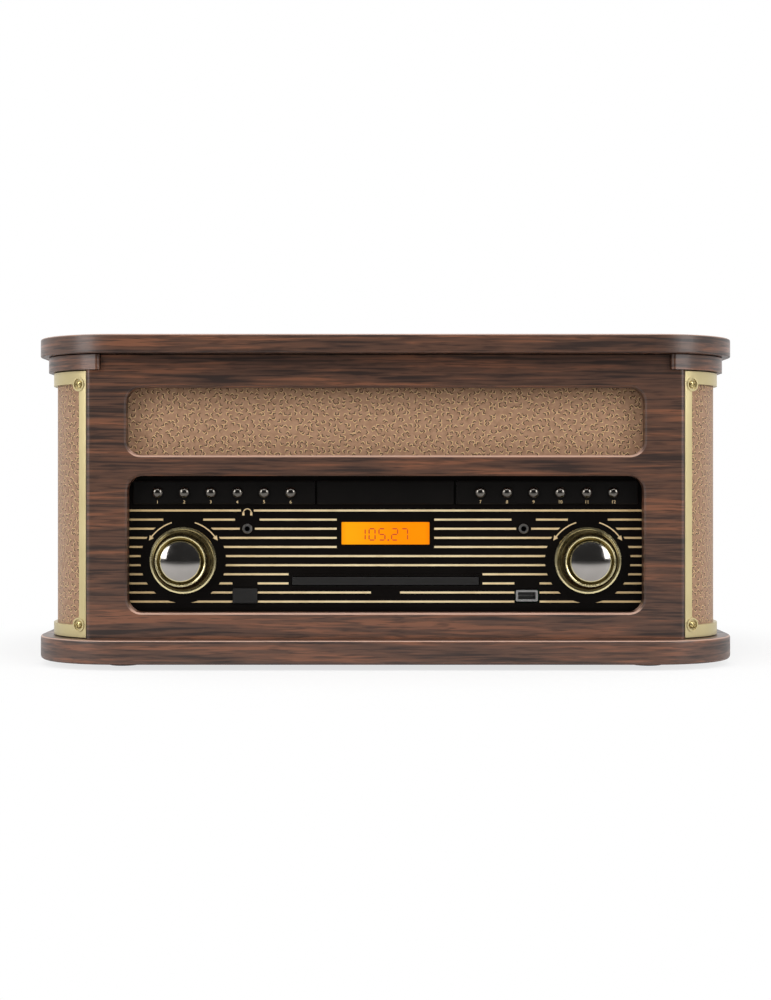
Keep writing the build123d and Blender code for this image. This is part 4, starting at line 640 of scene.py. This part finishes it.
# Power switch, disc tray, deck and the arm's small mouldings: one satin black plastic, moulded
# and clipped or screwed in place
soft_black, tree, shader = plain_material("moulded_black", {"Specular IOR Level": 0.28})
place = object_at(tree)
grit = noise_at(tree, place, 1400.0)
haze = noise_at(tree, place, 40.0)
tint(tree, shader, haze, screen(20, 19, 18), screen(30, 29, 28))
tree.links.new(ramp_of(tree, grit, 0.3, 0.7, 0.42, 0.54), shader.inputs["Roughness"])
bump_by(tree, shader, grit, 0.12, 0.0001)
for node in ("power_button", "cd_tray", "deck_plate", "arm_rest", "arm_lifter", "cue_lever", "tonearm_base",
             "speed_selector", "autostop_slider", "cartridge"):
    dress(node, soft_black)

# Display: a clear acrylic window, clipped into the facia and lit amber from behind, with plain
# segment digits
AMBER_LEFT = screen(255, 166, 14)
AMBER_RIGHT = screen(255, 138, 0)
amber, tree, shader = plain_material("amber_window", {
    "Roughness": 0.15, "Specular IOR Level": 0.3, "Emission Strength": 0.92,
})
window_low, window_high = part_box("display_window")
spot = split(tree, object_at(tree))
shift = ramp_of(tree, spot["X"], window_low.x, window_high.x * 0.4)
lamp = mix_of(tree, shift, AMBER_LEFT, AMBER_RIGHT)
rim = math_of(tree, "SUBTRACT", size_of(tree, spot["X"]), window_high.x)
shade = ramp_of(tree, rim, -0.004, 0.0, 0.0, 0.3)
tree.links.new(mix_of(tree, shade, lamp, screen(210, 96, 0)), shader.inputs["Emission Color"])
shader.inputs["Base Color"].default_value = screen(120, 62, 0)
dress("display_window", amber)

SEGMENTS = {"0": "abcdef", "1": "bc", "2": "abged", "5": "afgcd", "7": "abc"}
DIGIT_W, DIGIT_H, DIGIT_BAR = 0.0042, 0.0080, 0.0009
digit_ink, tree, shader = plain_material("digit_ink", {"Roughness": 0.4, "Emission Strength": 0.25})
place = object_at(tree)
fade = noise_at(tree, place, 300.0)
tint(tree, shader, fade, screen(150, 46, 0), screen(176, 60, 0))
tree.links.new(mix_of(tree, fade, screen(190, 60, 0), screen(205, 74, 0)), shader.inputs["Emission Color"])


def segment(letter):
    """The two ends of one bar of a seven-bar digit, from the digit's middle."""
    half_w, half_h = DIGIT_W / 2, DIGIT_H / 2
    ends = {
        "a": ((-half_w, half_h), (half_w, half_h)), "b": ((half_w, half_h), (half_w, 0)),
        "c": ((half_w, 0), (half_w, -half_h)), "d": ((-half_w, -half_h), (half_w, -half_h)),
        "e": ((-half_w, 0), (-half_w, -half_h)), "f": ((-half_w, half_h), (-half_w, 0)),
        "g": ((-half_w, 0), (half_w, 0)),
    }
    return ends[letter]


def bar_outline(start, end, width, gap):
    """A flat bar with pointed ends between two points, drawn in from each by a gap."""
    start, end = np.array(start), np.array(end)
    run = (end - start) / np.linalg.norm(end - start)
    side = np.array((-run[1], run[0])) * width / 2
    start, end = start + run * gap, end - run * gap
    tip = run * width / 2
    return [start, start + tip + side, end - tip + side, end, end - tip - side, start + tip - side]


def flat_print(name, outlines, depth, material):
    """Flat ink: each outline is a list of x and z points, laid at one depth and facing the front."""
    points, faces = [], []
    for outline in outlines:
        faces.append(list(range(len(points), len(points) + len(outline))))
        points += [(float(x), depth, float(z)) for x, z in outline]
    mesh = bpy.data.meshes.new(name)
    mesh.from_pydata(points, [], faces)
    normals = np.empty(3 * len(mesh.polygons))
    mesh.polygons.foreach_get("normal", normals)
    form = bmesh.new()
    form.from_mesh(mesh)
    backwards = [face for face, way in zip(form.faces, normals.reshape(-1, 3)[:, 1]) if way > 0]
    bmesh.ops.reverse_faces(form, faces=backwards)
    form.to_mesh(mesh)
    form.free()
    mesh.materials.append(material)
    piece = bpy.data.objects.new(name, mesh)
    scene.collection.objects.link(piece)
    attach(piece, "cabinet")


INK_LIFT = 0.00006
digit_z = (window_low.z + window_high.z) / 2 - 0.0008
digit_bars = []
DIGITS = ((-0.0165, "1"), (-0.0095, "0"), (-0.0025, "5"), (0.0065, "2"), (0.0135, "7"))
for place_x, figure in DIGITS:
    for letter in SEGMENTS[figure]:
        start, end = segment(letter)
        bar = bar_outline(start, end, DIGIT_BAR, DIGIT_BAR * 0.3)
        digit_bars.append([(place_x + x, digit_z + z) for x, z in bar])
POINT_X, POINT_HALF = 0.0020, 0.0006
point_z = digit_z - DIGIT_H / 2
corners = ((-1, -1), (1, -1), (1, 1), (-1, 1))
digit_bars.append([(POINT_X + x * POINT_HALF, point_z + z * POINT_HALF) for x, z in corners])
flat_print("display_digits", digit_bars, window_low.y - INK_LIFT, digit_ink)

# Jacks and data socket: two nickel jack collars with bores painted black as shade, and a steel shell with
# its tongue, soldered to the control board
sockets, tree, shader = plain_material("nickel_sockets", {"Specular IOR Level": 0.5})
spot = split(tree, object_at(tree))
JACK_X, JACK_Z = 0.0977, 0.0981
BORE_INNER, BORE_OUTER = 0.00193, 0.00203
COLLAR_BACK = -0.1517
DATA_X, DATA_TOP = 0.1, 0.062
TONGUE_LOW, TONGUE_HIGH, TONGUE_HALF = 0.0510, 0.0528, 0.0057
gap_x = math_of(tree, "SUBTRACT", size_of(tree, spot["X"]), JACK_X)
gap_z = math_of(tree, "SUBTRACT", size_of(tree, spot["Z"]), JACK_Z)
# Inside each bore and behind each collar the jacks are painted black: painted shade in the holes. The black
# of the data socket's tongue is its own colour.
bore = rest_of(tree, ramp_of(tree, distance_of(tree, gap_x, gap_z), BORE_INNER, BORE_OUTER))
is_jack = math_of(tree, "GREATER_THAN", spot["Z"], DATA_TOP)
behind = math_of(tree, "GREATER_THAN", spot["Y"], COLLAR_BACK)
black = math_of(tree, "MAXIMUM", bore, product(tree, is_jack, behind))
in_tongue = product(tree, math_of(tree, "GREATER_THAN", spot["Z"], TONGUE_LOW),
                    math_of(tree, "LESS_THAN", spot["Z"], TONGUE_HIGH))
short = math_of(tree, "LESS_THAN", size_of(tree, math_of(tree, "SUBTRACT", spot["X"], DATA_X)), TONGUE_HALF)
black = math_of(tree, "MAXIMUM", black, product(tree, in_tongue, short))
metal = mix_of(tree, is_jack, screen(176, 176, 174), screen(128, 126, 122))
tint(tree, shader, black, metal, screen(9, 9, 9))
tree.links.new(product(tree, rest_of(tree, black), 0.9), shader.inputs["Metallic"])
tree.links.new(ramp_of(tree, black, 0.0, 1.0, 0.3, 0.6), shader.inputs["Roughness"])
dress("sockets", sockets)

# Volume and tuning knobs: stepped polished brass bodies with two turned rings and a dark polished
# dome, pushed on flatted steel spindles. The brass is given as two copies: the body painted dark olive, a
# painted reflection of the black facia, and the rings painted bright, as painted highlights.
knob_brass_painted_dark = plated("knob_body_painted_reflection", screen(66, 58, 36), screen(90, 80, 52), 0.22)
knob_brass_painted_highlight = plated("knob_ring_painted_highlight", screen(214, 200, 150), screen(232, 220, 176), 0.2)
knob_dome = plated("knob_dome_chrome", screen(150, 146, 142), screen(168, 164, 160), 0.09)
KNOB_DEPTH = 0.0221
DOME_R, DOME_RISE, COLLAR_RISE = 0.0137, 0.0030, 0.0013
SPINDLE_R = 0.0030
for name in ("volume_knob", "tuning_knob"):
    # The profile runs from the bore's bottom out over the rim, then inward over the steps to the dome
    low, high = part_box(name)
    middle = ((low.x + high.x) / 2, (low.z + high.z) / 2)
    rim_r = (high.x - low.x) / 2
    front = low.y
    back = front + KNOB_DEPTH
    ring_front = front + DOME_RISE + COLLAR_RISE
    steps_in = [(0.0032, back), (rim_r - 0.0005, back), (rim_r, back - 0.0005), (rim_r, back - 0.0014),
                (rim_r - 0.0003, back - 0.0020), (rim_r - 0.0014, back - 0.0022)]
    lip = len(steps_in)
    steps_in += [(rim_r - 0.0018, back - 0.0030), (rim_r - 0.0020, back - 0.0048),
                 (rim_r - 0.0024, back - 0.0054), (rim_r - 0.0033, back - 0.0058),
                 (rim_r - 0.0036, back - 0.0066), (rim_r - 0.0036, back - 0.0092)]
    shoulder = [(rim_r - 0.0042, back - 0.0098), (rim_r - 0.0052, back - 0.0112),
                (0.0179, ring_front + 0.0020), (0.0179, ring_front + 0.0006)]
    ring = [(0.0177, ring_front + 0.0001), (0.0173, ring_front), (0.0166, ring_front + 0.0002)]
    valley = [(0.0149, ring_front + 0.0016), (0.0143, ring_front + 0.0016)]
    collar = [(0.0143, ring_front - 0.0009), (0.0141, ring_front - 0.0012),
              (DOME_R, ring_front - COLLAR_RISE)]
    dome = dome_points(DOME_R, ring_front - COLLAR_RISE, front, 25)[1:]
    bore = [(0.0, back - 0.009), (0.0032, back - 0.009)]
    profile = bore + steps_in + shoulder + ring + valley + collar + dome
    zone = np.zeros(len(profile) - 1, int)
    marks = np.cumsum([2 + lip, len(steps_in) - lip, len(shoulder), len(ring), len(valley), len(collar)])
    zone[3:marks[0] - 1] = 1
    zone[marks[2] - 1:marks[3] - 1] = 1
    zone[marks[4] - 1:marks[5] - 1] = 1
    zone[marks[5] - 1:] = 2
    body = lathe(f"{name}_turning", profile, middle, [knob_brass_painted_dark, knob_brass_painted_highlight, knob_dome], zone=zone,
                 steps=160, sharp=24.0)
    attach(body, name)
    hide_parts(name)
    spindle = [(0.0, back - 0.0088), (SPINDLE_R, back - 0.0088), (SPINDLE_R, high.y), (0.0, high.y)]
    shaft = lathe(f"{name}_spindle", spindle, middle, [screw_brass], steps=32)
    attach(shaft, name)

# Printing on the facia and bar: gilt ink, screen-printed, with turn arrows over each knob, a
# headphone sign and plain button numbers
ink_gilt, tree, shader = plain_material("gilt_ink", {"Roughness": 0.5, "Specular IOR Level": 0.3})
place = object_at(tree)
thin = noise_at(tree, place, 800.0)
tint(tree, shader, thin, screen(186, 160, 116), screen(214, 190, 148))
facia_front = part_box("facia_stripes")[1].y
ARROW_R = 0.0279
ARROW_W = 0.0008
ARROW_HEAD = 0.0034


def arc_arrow(middle, start, end):
    """A curved arrow: a band of even width along an arc between two angles, and a triangle at its end."""
    way = math.copysign(1.0, end - start)
    angle = np.linspace(start, end, 25)
    outer = np.stack([np.cos(angle), np.sin(angle)], axis=-1) * (ARROW_R + ARROW_W / 2)
    inner = np.stack([np.cos(angle), np.sin(angle)], axis=-1) * (ARROW_R - ARROW_W / 2)
    strips = [[outer[i], outer[i + 1], inner[i + 1], inner[i]] for i in range(24)]
    rim = np.array((math.cos(end), math.sin(end)))
    ahead = np.array((-rim[1], rim[0])) * way
    outer_barb, inner_barb = rim * (ARROW_R + ARROW_HEAD / 2), rim * (ARROW_R - ARROW_HEAD / 2)
    head = [outer_barb, rim * ARROW_R + ahead * ARROW_HEAD, inner_barb]
    return [[(middle[0] + x, middle[1] + z) for x, z in outline] for outline in strips + [head]]


arrows = []
for name in ("volume_knob", "tuning_knob"):
    low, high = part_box(name)
    middle = ((low.x + high.x) / 2, (low.z + high.z) / 2)
    for way in (-1, 1):
        arrows += arc_arrow(middle, math.radians(90 - way * 17), math.radians(90 - way * 53))
flat_print("turn_arrows", arrows, facia_front - INK_LIFT, ink_gilt)

SIGN_R, SIGN_W = 0.0028, 0.0006
sign_x, sign_z = -JACK_X, 0.1094
angle = np.linspace(0, math.pi, 17)
band = []
for i in range(16):
    pair = angle[i:i + 2]
    outer, inner = ([(sign_x + r * math.cos(a), sign_z + r * math.sin(a)) for a in pair]
                    for r in (SIGN_R + SIGN_W / 2, SIGN_R - SIGN_W / 2))
    band.append(outer + inner[::-1])
for hand in (-1, 1):
    pad = sign_x + hand * SIGN_R
    band.append([(pad - 0.00075, sign_z - 0.0019), (pad + 0.00075, sign_z - 0.0019),
                 (pad + 0.00075, sign_z + 0.0004), (pad - 0.00075, sign_z + 0.0004)])
flat_print("headphone_sign", band, facia_front - INK_LIFT, ink_gilt)

NUMBER_SIZE = 0.0032
NUMBER_DROP = 0.0068
bar_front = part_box("button_bar")[0].y
for count in range(1, 13):
    low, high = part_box(f"button_{count}")
    words = bpy.data.curves.new(f"number_{count}", "FONT")
    words.body = str(count)
    words.size = NUMBER_SIZE
    words.align_x = "CENTER"
    words.align_y = "CENTER"
    holder = bpy.data.objects.new(f"number_{count}_text", words)
    mesh = bpy.data.meshes.new_from_object(holder)
    bpy.data.objects.remove(holder)
    spots = np.empty(3 * len(mesh.vertices))
    mesh.vertices.foreach_get("co", spots)
    spots = spots.reshape(-1, 3)
    middle_x, number_z = (low.x + high.x) / 2, (low.z + high.z) / 2 - NUMBER_DROP
    depth = np.full(len(spots), bar_front - INK_LIFT)
    placed = np.stack([middle_x + spots[:, 0], depth, number_z + spots[:, 1]], axis=-1)
    mesh.vertices.foreach_set("co", placed.ravel())
    mesh.materials.clear()
    mesh.materials.append(ink_gilt)
    mesh.update()
    number = bpy.data.objects.new(f"number_{count}", mesh)
    scene.collection.objects.link(number)
    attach(number, "cabinet")


# Control board and main board: green solder-masked circuit boards with black and metal components,
# screwed behind the facia and on pillars over the base
def circuit(name, axis, low, high):
    """Green board between two levels on one axis, with dark components where it stands proud of them."""
    material, tree, shader = plain_material(name, {"Specular IOR Level": 0.4})
    place = object_at(tree)
    spot = put(tree, "ShaderNodeSeparateXYZ", {0: place}).outputs[axis]
    above = math_of(tree, "GREATER_THAN", spot, low)
    board = product(tree, above, math_of(tree, "LESS_THAN", spot, high))
    tracks = put(tree, "ShaderNodeTexVoronoi", {"Vector": place, "Scale": 260.0}, distance="MANHATTAN")
    line = ramp_of(tree, tracks.outputs["Distance"], 0.30, 0.42)
    green = mix_of(tree, line, screen(18, 74, 44), screen(34, 104, 62))
    grain = noise_at(tree, place, 500.0)
    parts = mix_of(tree, grain, screen(26, 26, 27), screen(58, 58, 60))
    tint(tree, shader, board, parts, green)
    tree.links.new(ramp_of(tree, grain, 0.3, 0.7, 0.35, 0.5), shader.inputs["Roughness"])
    return material


BOARD_T = 0.0016
board_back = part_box("control_board")[1].y
BOARD_INSET = 0.009
MASK_LAP = 0.0001
board_face = board_back - BOARD_INSET
green = (board_face - BOARD_T - MASK_LAP, board_face + MASK_LAP)
dress("control_board", circuit("control_circuit", "Y", *green))
main_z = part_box("main_board")[0].z + 0.008
dress("main_board", circuit("main_circuit", "Z", main_z - MASK_LAP, main_z + BOARD_T + MASK_LAP))

# Disc drive housing, motor can and platter bearing: folded and turned steel with a zinc plating,
# screwed to the base board or under the deck
sheet_steel, tree, shader = plain_material("plated_steel", {"Metallic": 0.9})
place = object_at(tree)
spangle = put(tree, "ShaderNodeTexVoronoi", {"Vector": place, "Scale": 120.0})
tone = put(tree, "ShaderNodeSeparateColor", {0: spangle.outputs["Color"]}).outputs[0]
tint(tree, shader, tone, screen(168, 170, 172), screen(196, 198, 200))
tree.links.new(ramp_of(tree, tone, 0.0, 1.0, 0.32, 0.44), shader.inputs["Roughness"])
for node in ("cd_drive", "motor", "platter_bearing"):
    dress(node, sheet_steel)

# Mains transformer: a stack of varnished iron laminations round a yellow-taped winding, screwed to
# the base board
iron, tree, shader = plain_material("varnished_iron", {"Specular IOR Level": 0.5, "Roughness": 0.4})
place = object_at(tree)
spot = split(tree, place)
iron_low, iron_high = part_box("transformer")
iron_y = (iron_low.y + iron_high.y) / 2
LAMINATION = 0.0005
STACK_HALF = 0.0142
leaf = math_of(tree, "SINE", product(tree, spot["Y"], 2 * math.pi / LAMINATION))
from_middle = size_of(tree, math_of(tree, "SUBTRACT", spot["Y"], iron_y))
outside = math_of(tree, "GREATER_THAN", from_middle, STACK_HALF)
dark = mix_of(tree, ramp_of(tree, leaf, -1.0, 1.0), screen(46, 42, 38), screen(88, 80, 70))
tint(tree, shader, outside, dark, screen(206, 172, 62))
dress("transformer", iron)

# Rear panel: black-painted hardboard with routed cooling slots, screwed between the side panels to
# the inner frame
hardboard, tree, shader = plain_material("painted_hardboard", {"Roughness": 0.62, "Specular IOR Level": 0.3})
place = object_at(tree)
nap = noise_at(tree, place, 650.0, 3.0)
tint(tree, shader, nap, screen(30, 26, 24), screen(48, 42, 38))
bump_by(tree, shader, nap, 0.2, 0.0002)
dress("rear_panel", hardboard)

# Connector tray: a black moulding let into the rear panel, whose sockets have coloured collars, red
# and white for the two channels
tray_black, tree, shader = plain_material("connector_tray", {"Roughness": 0.45, "Specular IOR Level": 0.35})
place = object_at(tree)
grit = noise_at(tree, place, 1400.0)
moulded = mix_of(tree, grit, screen(20, 20, 20), screen(30, 30, 30))
PHONO_XS, PHONO_ZS = (0.006, 0.024), (0.058, 0.078)
PHONO_R, PHONO_BORE_R, PHONO_ROOT = 0.0043, 0.0017, 0.1640
spot = split(tree, place)
for phono_z, ring_colour in zip(PHONO_ZS, (screen(170, 20, 18), screen(220, 218, 210))):
    for phono_x in PHONO_XS:
        gap_x = math_of(tree, "SUBTRACT", spot["X"], phono_x)
        gap_z = math_of(tree, "SUBTRACT", spot["Z"], phono_z)
        reach = distance_of(tree, gap_x, gap_z)
        barrel = math_of(tree, "LESS_THAN", reach, PHONO_R)
        proud = math_of(tree, "GREATER_THAN", spot["Y"], PHONO_ROOT)
        # The middle of each barrel is painted near black: painted shade in the socket's hole
        hole = math_of(tree, "LESS_THAN", reach, PHONO_BORE_R)
        collar = product(tree, barrel, proud)
        moulded = mix_of(tree, collar, moulded, ring_colour)
        moulded = mix_of(tree, product(tree, hole, proud), moulded, screen(10, 10, 10))
tree.links.new(moulded, shader.inputs["Base Color"])
dress("rear_jack_tray", tray_black)


# Platter: a die-cast aluminium dish, turned so that fine rings run round its axis, under a ribbed
# rubber mat; a flat belt drives its inner rim from the motor's brass pulley
def turned_rings(tree, axis_x, axis_y, pitch):
    """Fine rings about an upright axis: a sine of the distance from it."""
    spot = split(tree, object_at(tree))
    gap_x = math_of(tree, "SUBTRACT", spot["X"], axis_x)
    gap_y = math_of(tree, "SUBTRACT", spot["Y"], axis_y)
    return math_of(tree, "SINE", product(tree, distance_of(tree, gap_x, gap_y), 2 * math.pi / pitch))


platter_low, platter_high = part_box("platter")
spin_x, spin_y = (platter_low.x + platter_high.x) / 2, (platter_low.y + platter_high.y) / 2
cast_alloy, tree, shader = plain_material("turned_alloy", {"Metallic": 1.0})
rings = turned_rings(tree, spin_x, spin_y, 0.0007)
tint(tree, shader, ramp_of(tree, rings, -1.0, 1.0), screen(176, 178, 180), screen(206, 208, 210))
tree.links.new(ramp_of(tree, rings, -1.0, 1.0, 0.24, 0.34), shader.inputs["Roughness"])
bump_by(tree, shader, rings, 0.1, 0.0001)
dress("platter", cast_alloy)

mat_rubber, tree, shader = plain_material("mat_rubber", {"Roughness": 0.8, "Specular IOR Level": 0.25})
place = object_at(tree)
dust = noise_at(tree, place, 400.0, 3.0)
tint(tree, shader, dust, screen(24, 24, 25), screen(38, 38, 39))
rings = turned_rings(tree, spin_x, spin_y, 0.0012)
bump_by(tree, shader, rings, 0.15, 0.0002)
dress("platter_mat", mat_rubber)
dress("drive_belt", mat_rubber)

pulley_brass, tree, shader = plain_material("pulley_brass", {"Metallic": 1.0})
pulley_low, pulley_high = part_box("motor_pulley")
pulley_x, pulley_y = (pulley_low.x + pulley_high.x) / 2, (pulley_low.y + pulley_high.y) / 2
rings = turned_rings(tree, pulley_x, pulley_y, 0.0004)
tint(tree, shader, ramp_of(tree, rings, -1.0, 1.0), screen(186, 156, 92), screen(214, 186, 120))
tree.links.new(ramp_of(tree, rings, -1.0, 1.0, 0.2, 0.3), shader.inputs["Roughness"])
dress("motor_pulley", pulley_brass)

# Tonearm: a satin aluminium tube with its head shell and weight, on cross pins in a cast gimbal
# that turns on the arm base
arm_silver, tree, shader = plain_material("arm_silver", {"Metallic": 0.95})
place = object_at(tree)
drift = noise_at(tree, place, 150.0, 3.0)
tint(tree, shader, drift, screen(186, 187, 190), screen(212, 213, 216))
tree.links.new(ramp_of(tree, drift, 0.3, 0.7, 0.26, 0.36), shader.inputs["Roughness"])
for node in ("tonearm", "tonearm_gimbal"):
    dress(node, arm_silver)

# Lid: one foil-wrapped board with eased edges, on two plain steel hinges screwed to its rear edge,
# held open by a slotted steel stay
dress("lid_plate", walnut("lid_walnut", 1.71))
hinge_steel, tree, shader = plain_material("hinge_steel", {"Metallic": 1.0})
place = object_at(tree)
drawn_lines = put(tree, "ShaderNodeMapping", {"Vector": place, "Scale": (40.0, 900.0, 900.0)}).outputs[0]
lines = noise_at(tree, drawn_lines, 1.0, 3.0)
tint(tree, shader, lines, screen(150, 148, 142), screen(186, 184, 178))
tree.links.new(ramp_of(tree, lines, 0.3, 0.7, 0.28, 0.42), shader.inputs["Roughness"])
for node in ("lid_hinge_leaves", "cabinet_hinges", "stay_arm", "stay_track"):
    dress(node, hinge_steel)
